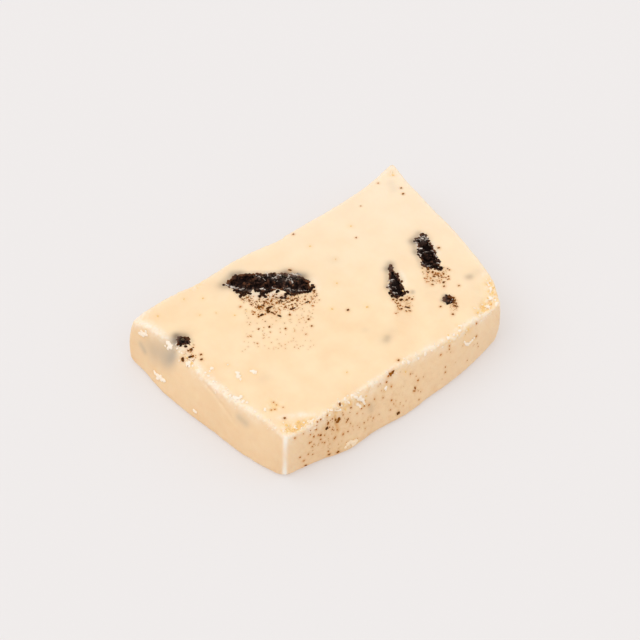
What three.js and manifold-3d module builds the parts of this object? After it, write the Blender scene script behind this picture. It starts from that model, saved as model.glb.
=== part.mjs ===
// A hand-cut piece of cookies and cream fudge, in millimetres, with +Z up.
// The origin is on the flat underside, in the middle of the rectangle that the piece covers.
// The long cut side in front runs along X, and the slanted cut side is on the right.
import * as THREE from 'three';
import { mergeVertices } from 'three/addons/utils/BufferGeometryUtils.js';
import Module from 'manifold-3d';

const wasm = await Module();
wasm.setup();

// The slab that the piece was cut from, and the rectangle that the piece covers.
const HEIGHT = 11.7;
const LENGTH = 81.6;
const WIDTH = 54.8;

// The corners of the piece seen from above, on the cut top and on the underside.
const TOP_CORNERS = {
  frontLeft: [-33.8, -23.2],
  frontRight: [28.0, -23.4],
  backLeft: [-38.0, 25.4],
  backRight: [40.7, 27.3],
};
const BOTTOM_CORNERS = {
  frontLeft: [-35.3, -24.1],
  frontRight: [28.3, -23.5],
  backLeft: [-39.9, 25.9],
  backRight: [40.3, 26.7],
};

// How far each side stands out from the straight line between its two corners, at eight equal
// steps from its left or front end. The blade wandered, and the slab bulges at its foot.
const TOP_SIDES = {
  front: [0, 0.5, 0.1, 0.1, -0.4, 0.1, 1.1, 0.3, 0],
  right: [0, 2.0, 2.4, 2.3, 2.0, 1.2, 0.6, 0.0, 0],
  back: [0, 0.1, -0.8, -0.5, -1.7, -1.9, -2.0, -1.6, 0],
  left: [0, -0.4, 0.3, 0.7, 0.4, -0.3, -1.2, -1.1, 0],
};
const BOTTOM_SIDES = {
  front: [0, 1.2, 3.3, 3.1, 3.9, 3.4, 3.0, 1.8, 0],
  right: [0, 1.5, 2.0, 2.0, 2.0, 1.4, 0.8, 0.3, 0],
  back: [0, -0.4, -0.3, -0.9, -1.2, -1.4, -1.6, -1.0, 0],
  left: [0, 1.3, 2.0, 2.0, 2.2, 2.3, 2.4, 0.8, 0],
};
const BELLY = 0.5;

// Worn edges: the radius along the underside, along the cut top, and down the four corners.
const FOOT_RADIUS = 1.3;
const RIM_RADIUS = 0.45;
const CORNER_RADIUS_AT_FOOT = 2.6;
const CORNER_RADIUS_AT_RIM = 1.1;

// The cut top is not quite level. Torn places are shallow dents in it: x, y, radius, depth.
const TOP_UNEVENNESS = 0.12;
const TORN_PLACES = [
  [26.0, -21.0, 2.2, 0.9],
  [28.0, -17.0, 1.8, 0.7],
  [22.6, -23.0, 1.6, 0.5],
  [-30.5, -22.4, 1.8, 0.45],
  [-26.8, -23.2, 1.8, 0.5],
  [-16.5, -23.8, 1.9, 0.6],
  [-12.9, -23.4, 1.4, 0.4],
  [-30.1, -14.4, 1.7, 0.25],
  [-36.4, 14.0, 1.4, 0.45],
  [-36.2, 8.2, 1.6, 0.55],
  [2.6, 24.6, 2.0, 0.35],
  [-21.0, 24.2, 2.2, 0.3],
];

// The body is a box mesh with this many cells each way, crowded towards its edges.
const CELLS_ALONG = 40;
const CELLS_ACROSS = 28;
const CELLS_UP = 7;
const CROWDING = 0.55;

// Curled shavings and lumps that the blade left on the faces. along runs from the left or front
// end of the face and up from the underside, both as shares; size is length, width, thickness.
const LUMPS = [
  { face: 'left', along: 0.94, up: 0.83, size: [1.7, 1.2, 0.9], turn: 0.5 },
  { face: 'left', along: 0.91, up: 0.8, size: [1.4, 1.1, 0.8], turn: 1.2 },
  { face: 'left', along: 0.765, up: 0.33, size: [2.7, 1.1, 0.9], turn: -0.5 },
  { face: 'left', along: 0.515, up: 0.2, size: [1.5, 0.8, 0.6], turn: 0.1 },
  { face: 'left', along: 0.762, up: 0.93, size: [2.0, 1.0, 0.8], turn: 0.2 },
  { face: 'front', along: 0.262, up: 0.19, size: [2.6, 1.3, 0.9], turn: 0.5 },
  { face: 'front', along: 0.823, up: 0.7, size: [2.0, 1.4, 1.0], turn: 0.2 },
  { face: 'front', along: 0.853, up: 0.76, size: [1.0, 0.8, 0.7], turn: 0.9 },
  { face: 'front', along: 0.435, up: 0.78, size: [1.1, 0.9, 0.7], turn: 0.0 },
  { face: 'front', along: 0.29, up: 0.93, size: [1.8, 1.1, 0.8], turn: 0.3 },
];
const LUMP_SINK = 0.12;

// Broken chocolate biscuit cut through by the blade: each outline as it shows in the top, x and y.
// Each piece goes on down into the fudge, and lean is how far it slips to the left per mm.
const BISCUITS = [
  {
    name: 'biscuit_long',
    depth: 5.5,
    lean: 0,
    outline: [
      [-15.8, 20.8], [-12.2, 21.7], [-10.7, 21.3], [-6.9, 18.2], [-2.7, 14.7], [-0.5, 11.4],
      [-0.2, 9.3], [-1.9, 7.0], [-5.6, 8.0], [-7.4, 12.0], [-9.4, 12.3], [-11.6, 15.3],
      [-14.8, 15.3], [-14.8, 17.8],
    ],
  },
  {
    name: 'biscuit_right',
    depth: 5.5,
    lean: 0,
    outline: [
      [28.9, 4.9], [30.3, 3.7], [29.2, 1.9], [28.1, -1.8], [26.9, -4.3], [25.0, -6.9],
      [24.1, -6.8], [22.4, -3.4], [23.5, -1.0], [24.4, 0.9], [26.3, 4.0],
    ],
  },
  {
    name: 'biscuit_middle',
    depth: 5.0,
    lean: 0,
    outline: [
      [17.2, 1.7], [15.7, 0.9], [14.7, -0.8], [11.9, -3.4], [10.7, -7.0], [11.1, -7.5],
      [13.4, -7.6], [14.3, -6.3], [15.7, -3.7], [17.1, 0.6],
    ],
  },
  {
    name: 'biscuit_left',
    depth: 6.5,
    lean: 0.25,
    outline: [
      [-33.6, 15.0], [-32.2, 14.1], [-31.1, 12.9], [-31.8, 11.5], [-32.9, 10.5], [-34.2, 11.3],
      [-35.4, 12.6], [-34.7, 14.0],
    ],
  },
  {
    name: 'biscuit_small',
    depth: 2.2,
    lean: 0,
    outline: [
      [19.9, -13.8], [21.0, -14.6], [21.0, -15.9], [19.8, -16.6], [18.7, -15.9], [18.6, -14.6],
    ],
  },
];
const BISCUIT_RECESS = 0.2;
const BISCUIT_EDGE = 0.3;
const BISCUIT_LAYERS = 3;
const BISCUIT_CRUMBLE = 0.07;
const GAP = 0.3;
const ABOVE_TOP = 2.0;

const FUDGE_FINISH = { color: 0xf6dcb4, roughness: 0.55, metalness: 0 };
const BISCUIT_FINISH = { color: 0x1e1412, roughness: 0.95, metalness: 0 };

// Crowds evenly spaced shares between 0 and 1 towards both ends.
function crowd(share) {
  return share - (CROWDING * Math.sin(2 * Math.PI * share)) / (2 * Math.PI);
}

// A smooth curve through offsets at equal steps, read at a share of the way along it.
function sideCurve(offsets) {
  const points = offsets.map((offset, step) => new THREE.Vector2(step, offset));
  const curve = new THREE.SplineCurve(points);
  return (share) => curve.getPoint(Math.min(Math.max(share, 0), 1)).y;
}

function curvesOf(sides) {
  return Object.fromEntries(Object.entries(sides).map(([name, offsets]) => [name, sideCurve(offsets)]));
}

const topCurves = curvesOf(TOP_SIDES);
const bottomCurves = curvesOf(BOTTOM_SIDES);

// How far a rounded edge lies behind the face, at a distance from where the two faces would meet.
function roundedInset(distance, radius) {
  const within = Math.min(Math.max(distance, 0), radius);
  return radius - Math.sqrt(radius ** 2 - (radius - within) ** 2);
}

// Rounds the corner of a rectangle: takes and gives the distances from its two nearest sides.
function roundCorner(fromEnd, fromSide, radius) {
  if (fromEnd >= radius || fromSide >= radius) {
    return [fromEnd, fromSide];
  }
  const p = 1 - fromEnd / radius;
  const q = 1 - fromSide / radius;
  return [
    radius * (1 - p * Math.sqrt(1 - (q * q) / 2)),
    radius * (1 - q * Math.sqrt(1 - (p * p) / 2)),
  ];
}

// Mirrors a share about the middle so that both ends of a side are handled alike.
function withRoundedCorners(along, across, radius) {
  const nearLeft = along < 0.5;
  const nearFront = across < 0.5;
  const fromEnd = LENGTH * (nearLeft ? along : 1 - along);
  const fromSide = WIDTH * (nearFront ? across : 1 - across);
  const [end, side] = roundCorner(fromEnd, fromSide, radius);
  return [
    nearLeft ? end / LENGTH : 1 - end / LENGTH,
    nearFront ? side / WIDTH : 1 - side / WIDTH,
  ];
}

// How far the top surface lies below HEIGHT at a place on it.
function topDrop(x, y) {
  const swell = (1 - Math.cos(x / 9) * Math.cos(y / 7)) / 2;
  let drop = TOP_UNEVENNESS * swell;
  for (const [tornX, tornY, radius, depth] of TORN_PLACES) {
    const away = ((x - tornX) ** 2 + (y - tornY) ** 2) / radius ** 2;
    drop += depth * Math.exp(-away);
  }
  return drop;
}

// The surface of the fudge, for shares of the way along it, across it and up it.
function fudgePoint(along, across, up) {
  const mix = THREE.MathUtils.lerp;
  const radius = mix(CORNER_RADIUS_AT_FOOT, CORNER_RADIUS_AT_RIM, up);
  const [roundedAlong, roundedAcross] = withRoundedCorners(along, across, radius);
  const height = up * HEIGHT;
  const inset =
    roundedInset(height, FOOT_RADIUS) +
    roundedInset(HEIGHT - height, RIM_RADIUS) -
    BELLY * Math.sin(Math.PI * up);
  const u = (inset + roundedAlong * (LENGTH - 2 * inset)) / LENGTH;
  const v = (inset + roundedAcross * (WIDTH - 2 * inset)) / WIDTH;

  const corner = (name, axis) => mix(BOTTOM_CORNERS[name][axis], TOP_CORNERS[name][axis], up);
  const straight = (axis) =>
    mix(
      mix(corner('frontLeft', axis), corner('frontRight', axis), u),
      mix(corner('backLeft', axis), corner('backRight', axis), u),
      v,
    );
  const bow = (side, share) => mix(bottomCurves[side](share), topCurves[side](share), up);
  const x = straight(0) + bow('right', v) * u - bow('left', v) * (1 - u);
  const y = straight(1) + bow('back', u) * v - bow('front', u) * (1 - v);
  return new THREE.Vector3(x, y, height - topDrop(x, y) * up ** 6);
}

// Turns a closed three.js geometry into a solid that can be joined and cut.
function toSolid(geometry) {
  const bare = geometry.clone();
  bare.deleteAttribute('normal');
  bare.deleteAttribute('uv');
  const merged = mergeVertices(bare, 1e-4);
  const mesh = new wasm.Mesh({
    numProp: 3,
    vertProperties: Float32Array.from(merged.attributes.position.array),
    triVerts: Uint32Array.from(merged.index.array),
  });
  return new wasm.Manifold(mesh);
}

function toMesh(name, solid, finish) {
  const { vertProperties, triVerts } = solid.getMesh();
  const geometry = new THREE.BufferGeometry();
  geometry.setAttribute('position', new THREE.BufferAttribute(vertProperties, 3));
  geometry.setIndex(new THREE.BufferAttribute(triVerts, 1));
  geometry.computeVertexNormals();
  const mesh = new THREE.Mesh(geometry, new THREE.MeshStandardMaterial(finish));
  mesh.name = name;
  return mesh;
}

function fudgeBlock() {
  const geometry = new THREE.BoxGeometry(1, 1, 1, CELLS_ALONG, CELLS_ACROSS, CELLS_UP);
  const place = geometry.attributes.position;
  for (let i = 0; i < place.count; i += 1) {
    const along = crowd(place.getX(i) + 0.5);
    const across = crowd(place.getY(i) + 0.5);
    const up = crowd(place.getZ(i) + 0.5);
    const point = fudgePoint(along, across, up);
    place.setXYZ(i, point.x, point.y, point.z);
  }
  return toSolid(geometry);
}

// A lump is a flattened ball pressed into a face, with its thickness along the face's normal.
function lump({ face, along, up, size, turn }) {
  const onFace = (share, height) =>
    face === 'left' ? fudgePoint(0, share, height) : fudgePoint(share, 0, height);
  const step = 0.01;
  const centre = onFace(along, up);
  const sideways = onFace(along + step, up).sub(centre).normalize();
  const upwards = onFace(along, up - step).sub(centre).negate();
  const normal = new THREE.Vector3().crossVectors(sideways, upwards).normalize();
  if (face === 'left') {
    normal.negate();
  }
  const trueUp = new THREE.Vector3().crossVectors(normal, sideways);
  const [length, width, thickness] = size;
  const geometry = new THREE.SphereGeometry(0.5, 7, 5);
  geometry.scale(length, width, thickness);
  geometry.rotateZ(turn);
  geometry.applyMatrix4(new THREE.Matrix4().makeBasis(sideways, trueUp, normal));
  const place = centre.addScaledVector(normal, -LUMP_SINK * thickness);
  geometry.translate(place.x, place.y, place.z);
  return toSolid(geometry);
}

// A repeatable number between 0 and 1 for a place, used to make broken biscuit uneven.
function scatter(x, y, z) {
  const wave = Math.sin(x * 12.99 + y * 78.23 + z * 37.72) * 437.58;
  return wave - Math.floor(wave);
}

function leanLeft(geometry, lean) {
  const shear = new THREE.Matrix4().set(1, 0, lean, -lean * HEIGHT, 0, 1, 0, 0, 0, 0, 1, 0, 0, 0, 0, 1);
  geometry.applyMatrix4(shear);
}

// An upright block with the outline of the broken biscuit, between two heights.
function outlineBlock(outline, from, to, grow) {
  const shape = new THREE.Shape(outline.map(([x, y]) => new THREE.Vector2(x, y)));
  const geometry = new THREE.ExtrudeGeometry(shape, {
    depth: to - from - 2 * BISCUIT_EDGE,
    steps: BISCUIT_LAYERS,
    bevelEnabled: true,
    bevelSize: BISCUIT_EDGE,
    bevelThickness: BISCUIT_EDGE,
    bevelOffset: grow - BISCUIT_EDGE,
    bevelSegments: 1,
  });
  geometry.translate(0, 0, from + BISCUIT_EDGE);
  return geometry;
}

function biscuitPiece({ outline, depth, lean }) {
  const top = HEIGHT - BISCUIT_RECESS;
  const geometry = outlineBlock(outline, top - depth, top, 0);
  geometry.computeBoundingBox();
  const middle = geometry.boundingBox.getCenter(new THREE.Vector3());
  const place = geometry.attributes.position;
  for (let i = 0; i < place.count; i += 1) {
    const point = new THREE.Vector3().fromBufferAttribute(place, i);
    const shrink = BISCUIT_CRUMBLE * scatter(point.x, point.y, point.z);
    place.setX(i, THREE.MathUtils.lerp(point.x, middle.x, shrink));
    place.setY(i, THREE.MathUtils.lerp(point.y, middle.y, shrink));
  }
  leanLeft(geometry, lean);
  return toSolid(geometry);
}

function biscuitPocket({ outline, depth, lean }) {
  const floor = HEIGHT - BISCUIT_RECESS - depth - GAP;
  const geometry = outlineBlock(outline, floor, HEIGHT + ABOVE_TOP, GAP);
  leanLeft(geometry, lean);
  return toSolid(geometry);
}

function fudgeBody() {
  let solid = fudgeBlock();
  for (const shaving of LUMPS) {
    solid = solid.add(lump(shaving));
  }
  for (const biscuit of BISCUITS) {
    solid = solid.subtract(biscuitPocket(biscuit));
  }
  return toMesh('fudge_body', solid, FUDGE_FINISH);
}

const fudge = new THREE.Group();
fudge.add(fudgeBody());
for (const biscuit of BISCUITS) {
  fudge.add(toMesh(biscuit.name, biscuitPiece(biscuit), BISCUIT_FINISH));
}

export default fudge;
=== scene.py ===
import bmesh
import bpy
import numpy as np
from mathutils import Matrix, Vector, noise
from mathutils.bvhtree import BVHTree
from mathutils.kdtree import KDTree


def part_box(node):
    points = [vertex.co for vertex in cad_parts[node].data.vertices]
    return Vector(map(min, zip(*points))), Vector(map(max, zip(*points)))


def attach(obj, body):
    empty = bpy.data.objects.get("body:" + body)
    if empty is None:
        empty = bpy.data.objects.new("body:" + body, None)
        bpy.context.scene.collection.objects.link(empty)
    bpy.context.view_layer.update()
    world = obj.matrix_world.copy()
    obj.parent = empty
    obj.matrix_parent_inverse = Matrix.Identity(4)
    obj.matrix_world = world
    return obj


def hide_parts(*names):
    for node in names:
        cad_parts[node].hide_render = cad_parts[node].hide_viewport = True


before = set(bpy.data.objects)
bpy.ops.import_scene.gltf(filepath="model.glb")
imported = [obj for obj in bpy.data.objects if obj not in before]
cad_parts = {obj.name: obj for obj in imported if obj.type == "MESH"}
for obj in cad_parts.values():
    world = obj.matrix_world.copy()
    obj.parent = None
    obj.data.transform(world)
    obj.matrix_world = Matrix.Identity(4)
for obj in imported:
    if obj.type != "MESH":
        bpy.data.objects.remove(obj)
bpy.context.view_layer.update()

# ---------------------------------------------------------------------------------------------
# The slab of fudge. White fudge was poured into a tray, set, turned out and cut by hand with a
# blade. It stands on a flat underside with bulging feet; the cut top is smooth and waxy, and its
# rims are worn pale and torn where biscuit caught the blade. All sizes here are in millimetres.
# ---------------------------------------------------------------------------------------------
MM = 0.001
fudge_low, fudge_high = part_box("fudge_body")
HEIGHT = fudge_high.z / MM
LENGTH = 81.6
WIDTH = 54.8

TOP_CORNERS = {
    "front_left": (-33.8, -23.2),
    "front_right": (28.0, -23.4),
    "back_left": (-38.0, 25.4),
    "back_right": (40.7, 27.3),
}
BOTTOM_CORNERS = {
    "front_left": (-35.3, -24.1),
    "front_right": (28.3, -23.5),
    "back_left": (-39.9, 25.9),
    "back_right": (40.3, 26.7),
}

# How far each side stands out from the straight line between its two corners, at eight equal
# steps from its left or front end.
TOP_SIDES = {
    "front": (0, 0.5, 0.1, 0.1, -0.4, 0.1, 1.1, 0.3, 0),
    "right": (0, 2.0, 2.4, 2.3, 2.0, 1.2, 0.6, 0.0, 0),
    "back": (0, 0.1, -0.8, -0.6, -1.8, -2.1, -2.3, -1.8, 0),
    "left": (0, -0.4, 0.3, 0.7, 0.4, -0.3, -1.2, -1.1, 0),
}
BOTTOM_SIDES = {
    "front": (0, 1.2, 3.3, 3.1, 3.9, 3.4, 3.0, 1.8, 0),
    "right": (0, 1.5, 2.0, 2.0, 2.0, 1.4, 0.8, 0.3, 0),
    "back": (0, -0.4, -0.3, -0.9, -1.2, -1.4, -1.6, -1.0, 0),
    "left": (0, 1.2, 1.9, 1.9, 2.1, 2.1, 1.8, 0.6, 0),
}
BELLY = 0.5
FOOT_RADIUS = 1.3
RIM_RADIUS = 0.45
CORNER_RADIUS_AT_FOOT = 2.6
CORNER_RADIUS_AT_RIM = 1.1

# The cut top is not quite level, and torn places are shallow dents in it: x, y, radius, depth.
TOP_UNEVENNESS = 0.12
TORN_PLACES = (
    (26.0, -21.0, 2.2, 0.9), (28.0, -17.0, 1.8, 0.7), (22.6, -23.0, 1.6, 0.5),
    (-30.5, -22.4, 1.8, 0.45), (-26.8, -23.2, 1.8, 0.5), (-16.5, -23.8, 1.9, 0.6),
    (-12.9, -23.4, 1.4, 0.4), (-15.0, -25.2, 0.8, 0.5), (-30.1, -14.4, 1.7, 0.25),
    (-36.4, 14.0, 1.4, 0.45), (-36.2, 8.2, 1.6, 0.55), (-37.6, 24.8, 2.2, 0.5), (2.6, 24.6, 2.0, 0.35),
    (-21.0, 24.2, 2.2, 0.3),
)

CELLS_ALONG = 280
CELLS_ACROSS = 186
CELLS_UP = 38
CROWDING = 0.55
CROWDING_UPWARD = 0.3


def mix(below, above, share):
    return below + (above - below) * share


def side_curve(offsets):
    """A smooth curve through offsets at equal steps, to be read at shares of the way along it."""
    offsets = np.array(offsets, float)
    last = len(offsets) - 1

    def read(share):
        place = np.clip(share, 0, 1) * last
        step = np.minimum(place.astype(int), last - 1)
        t = place - step
        before = offsets[np.maximum(step - 1, 0)]
        here = offsets[step]
        there = offsets[step + 1]
        after = offsets[np.minimum(step + 2, last)]
        leaving = (there - before) / 2
        arriving = (after - here) / 2
        cubic = 2 * here - 2 * there + leaving + arriving
        square = 3 * there - 3 * here - 2 * leaving - arriving
        return cubic * t**3 + square * t**2 + leaving * t + here

    return read


top_curves = {side: side_curve(offsets) for side, offsets in TOP_SIDES.items()}
bottom_curves = {side: side_curve(offsets) for side, offsets in BOTTOM_SIDES.items()}


def rounded_inset(distance, radius):
    """How far a rounded edge lies behind a face, at a distance from where the faces would meet."""
    within = np.clip(distance, 0, radius)
    return radius - np.sqrt(radius**2 - (radius - within) ** 2)


def with_rounded_corners(along, across, radius):
    """Pulls shares near the four upright corners in, onto an arc of that radius."""
    from_end = LENGTH * np.minimum(along, 1 - along)
    from_side = WIDTH * np.minimum(across, 1 - across)
    p = np.clip(1 - from_end / radius, 0, 1)
    q = np.clip(1 - from_side / radius, 0, 1)
    end = np.where(q > 0, radius * (1 - p * np.sqrt(1 - q * q / 2)), from_end)
    side = np.where(p > 0, radius * (1 - q * np.sqrt(1 - p * p / 2)), from_side)
    end = np.where(p > 0, end, from_end) / LENGTH
    side = np.where(q > 0, side, from_side) / WIDTH
    return np.where(along < 0.5, end, 1 - end), np.where(across < 0.5, side, 1 - side)


def top_drop(x, y):
    """How far the cut top lies below its greatest height at a place on it."""
    drop = TOP_UNEVENNESS * (1 - np.cos(x / 9) * np.cos(y / 7)) / 2
    for torn_x, torn_y, radius, depth in TORN_PLACES:
        away = ((x - torn_x) ** 2 + (y - torn_y) ** 2) / radius**2
        drop = drop + depth * np.exp(-away)
    return drop


def fudge_surface(along, across, up):
    """Points on the fudge, for shares of the way along it, across it and up it."""
    radius = mix(CORNER_RADIUS_AT_FOOT, CORNER_RADIUS_AT_RIM, up)
    rounded_along, rounded_across = with_rounded_corners(along, across, radius)
    height = up * HEIGHT
    inset = rounded_inset(height, FOOT_RADIUS) + rounded_inset(HEIGHT - height, RIM_RADIUS)
    inset = inset - BELLY * np.sin(np.pi * up)
    u = (inset + rounded_along * (LENGTH - 2 * inset)) / LENGTH
    v = (inset + rounded_across * (WIDTH - 2 * inset)) / WIDTH

    def straight(axis):
        corner = {k: mix(BOTTOM_CORNERS[k][axis], TOP_CORNERS[k][axis], up) for k in TOP_CORNERS}
        front = mix(corner["front_left"], corner["front_right"], u)
        back = mix(corner["back_left"], corner["back_right"], u)
        return mix(front, back, v)

    def bow(side, share):
        return mix(bottom_curves[side](share), top_curves[side](share), up)

    x = straight(0) + bow("right", v) * u - bow("left", v) * (1 - u)
    y = straight(1) + bow("back", u) * v - bow("front", u) * (1 - v)
    return np.stack([x, y, height - top_drop(x, y) * up**6], axis=-1)


def crowded(cells, crowding):
    """Shares from 0 to 1 that lie closer together at both ends."""
    share = np.linspace(0, 1, cells + 1)
    return share - crowding * np.sin(2 * np.pi * share) / (2 * np.pi)


def fudge_block():
    """The points and faces of the whole slab, and the points of its top rim."""
    along = crowded(CELLS_ALONG, CROWDING)
    across = crowded(CELLS_ACROSS, CROWDING)
    up = crowded(CELLS_UP, CROWDING_UPWARD)
    ends, sides = np.ones(CELLS_ACROSS), np.ones(CELLS_ALONG)
    ring_along = np.concatenate([along[:-1], ends, along[:0:-1], 0 * ends])
    ring_across = np.concatenate([0 * sides, across[:-1], sides, across[:0:-1]])
    round_it = len(ring_along)
    wall = fudge_surface(ring_along[None, :], ring_across[None, :], up[:, None]).reshape(-1, 3)
    inner = fudge_surface(along[1:-1, None], across[None, 1:-1], np.ones((1, 1))).reshape(-1, 3)

    faces = [list(range(round_it))[::-1]]
    for level in range(CELLS_UP):
        for i in range(round_it):
            j = (i + 1) % round_it
            low = level * round_it
            faces.append((low + i, low + j, low + round_it + j, low + round_it + i))
    rim = CELLS_UP * round_it + np.arange(round_it)
    top = np.empty((CELLS_ALONG + 1, CELLS_ACROSS + 1), int)
    top[1:-1, 1:-1] = len(wall) + np.arange(len(inner)).reshape(CELLS_ALONG - 1, -1)
    first, second, third = CELLS_ALONG, CELLS_ALONG + CELLS_ACROSS, 2 * CELLS_ALONG + CELLS_ACROSS
    top[:-1, 0] = rim[:first]
    top[-1, :-1] = rim[first:second]
    top[:0:-1, -1] = rim[second:third]
    top[0, :0:-1] = rim[third:]
    corners = (top[:-1, :-1], top[1:, :-1], top[1:, 1:], top[:-1, 1:])
    faces += np.stack(corners, axis=-1).reshape(-1, 4).tolist()
    return np.concatenate([wall, inner]), faces, wall[rim]


def to_mesh(name, points, faces):
    mesh = bpy.data.meshes.new(name)
    mesh.from_pydata((np.asarray(points) * MM).tolist(), [], faces)
    mesh.update()
    return mesh


def to_object(name, data, material=None):
    """A new object in the scene, of a mesh, a light or a camera."""
    made = bpy.data.objects.new(name, data)
    bpy.context.scene.collection.objects.link(made)
    if material:
        data.materials.append(material)
    return made


def points_of(mesh):
    found = np.empty(len(mesh.vertices) * 3)
    mesh.vertices.foreach_get("co", found)
    return found.reshape(-1, 3) / MM


def set_points(mesh, points):
    mesh.vertices.foreach_set("co", (points * MM).ravel())
    mesh.update()


def normals_of(mesh):
    found = np.empty(len(mesh.vertices) * 3, np.float32)
    mesh.vertex_normals.foreach_get("vector", found)
    return found.reshape(-1, 3).astype(float)


def add_mask(mesh, name, values):
    mask = mesh.attributes.new(name, "FLOAT", "POINT")
    mask.data.foreach_set("value", np.clip(values, 0, 1).astype(np.float32))


def waves(points, cell, seed=0.0):
    """Smooth noise between -1 and 1, with features one cell across. cell may differ by axis."""
    places = points / np.asarray(cell, float) + 17.3 * seed
    return np.array([noise.noise(place) for place in places.tolist()])


def gap_to_stroke(points, start, end):
    """How far points are from a straight stroke between two places."""
    start, end = np.array(start, float), np.array(end, float)
    line = end - start
    length = max(float(line @ line), 1e-9)
    share = np.clip((points - start) @ line / length, 0, 1)
    return np.linalg.norm(points - start - share[:, None] * line, axis=1)


def stroked(points, strokes):
    """A soft mask from strokes, each a start, an end, a radius and a strength."""
    left = np.ones(len(points))
    for start, end, radius, strength in strokes:
        gap = gap_to_stroke(points, start, end)
        left *= 1 - strength * np.exp(-((gap / radius) ** 2))
    return 1 - left


def level_strokes(height, rows):
    """Strokes at one height. Each row is x, y and x, y of its ends, a radius and a strength."""
    return [((x, y, height), (to_x, to_y, height), *rest) for x, y, to_x, to_y, *rest in rows]


def nearest(points, places):
    """Which of the places is nearest to each point, and how far it is."""
    tree = KDTree(len(places))
    for i, place in enumerate(np.asarray(places).tolist()):
        tree.insert(place, i)
    tree.balance()
    found = [tree.find(point) for point in points.tolist()]
    return np.array([index for _, index, _ in found]), np.array([gap for _, _, gap in found])


block_points, block_faces, rim_line = fudge_block()
block = to_mesh("fudge_block", block_points, block_faces)
block_normals = normals_of(block)
_, rim_gap = nearest(block_points, rim_line)

# A faint crease in the left side, where the blade paused, and a crack and a pit in the front side
# by the torn rim. Each is a start, an end, a width and a depth.
CREASES = (
    ((-36.9, 0.8, 10.6), (-36.9, -2.0, 10.1), 0.3, 0.15),
    ((-36.9, -2.0, 10.1), (-37.0, -5.2, 9.2), 0.3, 0.15),
    ((-37.0, -5.2, 9.2), (-37.1, -10.3, 6.9), 0.3, 0.15),
    ((-21.1, -24.1, 10.0), (-21.3, -24.7, 8.4), 0.3, 0.2),
    ((-21.3, -24.7, 8.4), (-21.1, -25.4, 6.6), 0.3, 0.2),
    ((-15.0, -24.3, 9.5), (-14.3, -24.4, 9.4), 0.6, 0.4),
)

# Where the surface is torn: on the rims as well as in the dents of the top.
TORN_STROKES = (
    ((-32.2, -21.4, 11.3), (-29.4, -22.4, 11.3), 1.1, 1.0),
    ((-29.4, -22.4, 11.3), (-26.6, -22.9, 11.4), 0.9, 1.0),
    ((-22.0, -23.4, 11.3), (-17.8, -23.9, 11.2), 0.8, 0.8),
    ((-17.8, -23.9, 11.2), (-13.6, -24.2, 11.2), 0.9, 0.9),
    ((-6.2, -23.8, 11.3), (-3.2, -23.8, 11.4), 0.7, 0.7),
    ((-1.6, -24.2, 11.2), (1.0, -24.4, 11.0), 0.7, 0.6),
    ((11.0, -24.6, 11.2), (17.6, -24.4, 11.0), 0.7, 0.7),
    ((22.0, -22.4, 11.2), (24.4, -22.0, 11.0), 0.8, 0.8),
    ((24.4, -21.8, 11.0), (28.2, -20.6, 11.0), 1.1, 1.0),
    ((28.2, -20.6, 11.1), (30.3, -17.0, 11.2), 0.9, 1.0),
    ((30.6, -17.0, 11.2), (31.3, -15.2, 11.3), 0.5, 0.4),
    ((-30.4, -14.8, 11.6), (-29.6, -14.0, 11.6), 1.2, 0.5),
    ((-37.0, 14.4, 11.4), (-36.4, 12.2, 11.4), 0.9, 0.8),
    ((-37.0, 9.6, 11.3), (-36.0, 5.6, 11.5), 1.0, 0.7),
    ((2.0, 24.8, 11.5), (3.6, 24.7, 11.5), 0.9, 0.6),
    ((-22.0, 24.6, 11.5), (-20.0, 24.4, 11.5), 0.9, 0.5),
)
TORN_HEIGHT = 0.3
# Below this height the fudge is its flat underside, which has no relief.
UNDERSIDE = 0.02


def torn_crags(points):
    """Rough height of torn fudge, from about -1 in the pits to 1."""
    coarse = waves(points, 1.1, 8)
    return 1.2 * coarse + 0.8 * waves(points, 0.5, 9) + 0.5 * waves(points, 0.25, 15)


def fudge_relief(points, normals, gap):
    """How far the real surface stands out from the plain form, in its fine detail."""
    flank = np.clip(1 - np.abs(normals[:, 2]), 0, 1)
    front = flank * np.clip(-normals[:, 1], 0, 1)
    left = flank * np.clip(-normals[:, 0], 0, 1)
    hidden = flank * np.clip(normals[:, 0] + normals[:, 1], 0, 1)
    worn = np.exp(-((gap / 0.9) ** 2))
    foot = flank * np.exp(-((points[:, 2] / 1.6) ** 2))
    torn = stroked(points, TORN_STROKES)
    slanted = points + np.array((0.45, 0, 0)) * points[:, 2:]
    relief = 0.03 * waves(points, 5.0) + 0.008 * waves(points, 1.4, 1)
    relief += front * 0.10 * waves(slanted, (0.9, 1.0, 3.2), 2)
    relief += front * 0.10 * waves(points, (3.0, 1.0, 1.8), 3)
    relief += front * 0.05 * waves(points, 0.6, 10)
    relief += left * 0.07 * waves(points, (1.0, 4.0, 2.4), 13)
    relief += hidden * 0.07 * waves(slanted, (1.2, 1.2, 3.0), 4)
    relief += foot * 0.18 * waves(points, 1.5, 5)
    relief += worn * (0.11 * waves(points, 0.9, 6) + 0.06 * waves(points, 0.4, 7))
    relief += torn * TORN_HEIGHT * (torn_crags(points) - 0.3)
    for start, end, width, depth in CREASES:
        relief -= depth * np.exp(-((gap_to_stroke(points, start, end) / width) ** 2))
    return np.where(points[:, 2] < UNDERSIDE, 0, relief)


relief = fudge_relief(block_points, block_normals, rim_gap)
set_points(block, block_points + block_normals * relief[:, None])

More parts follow.
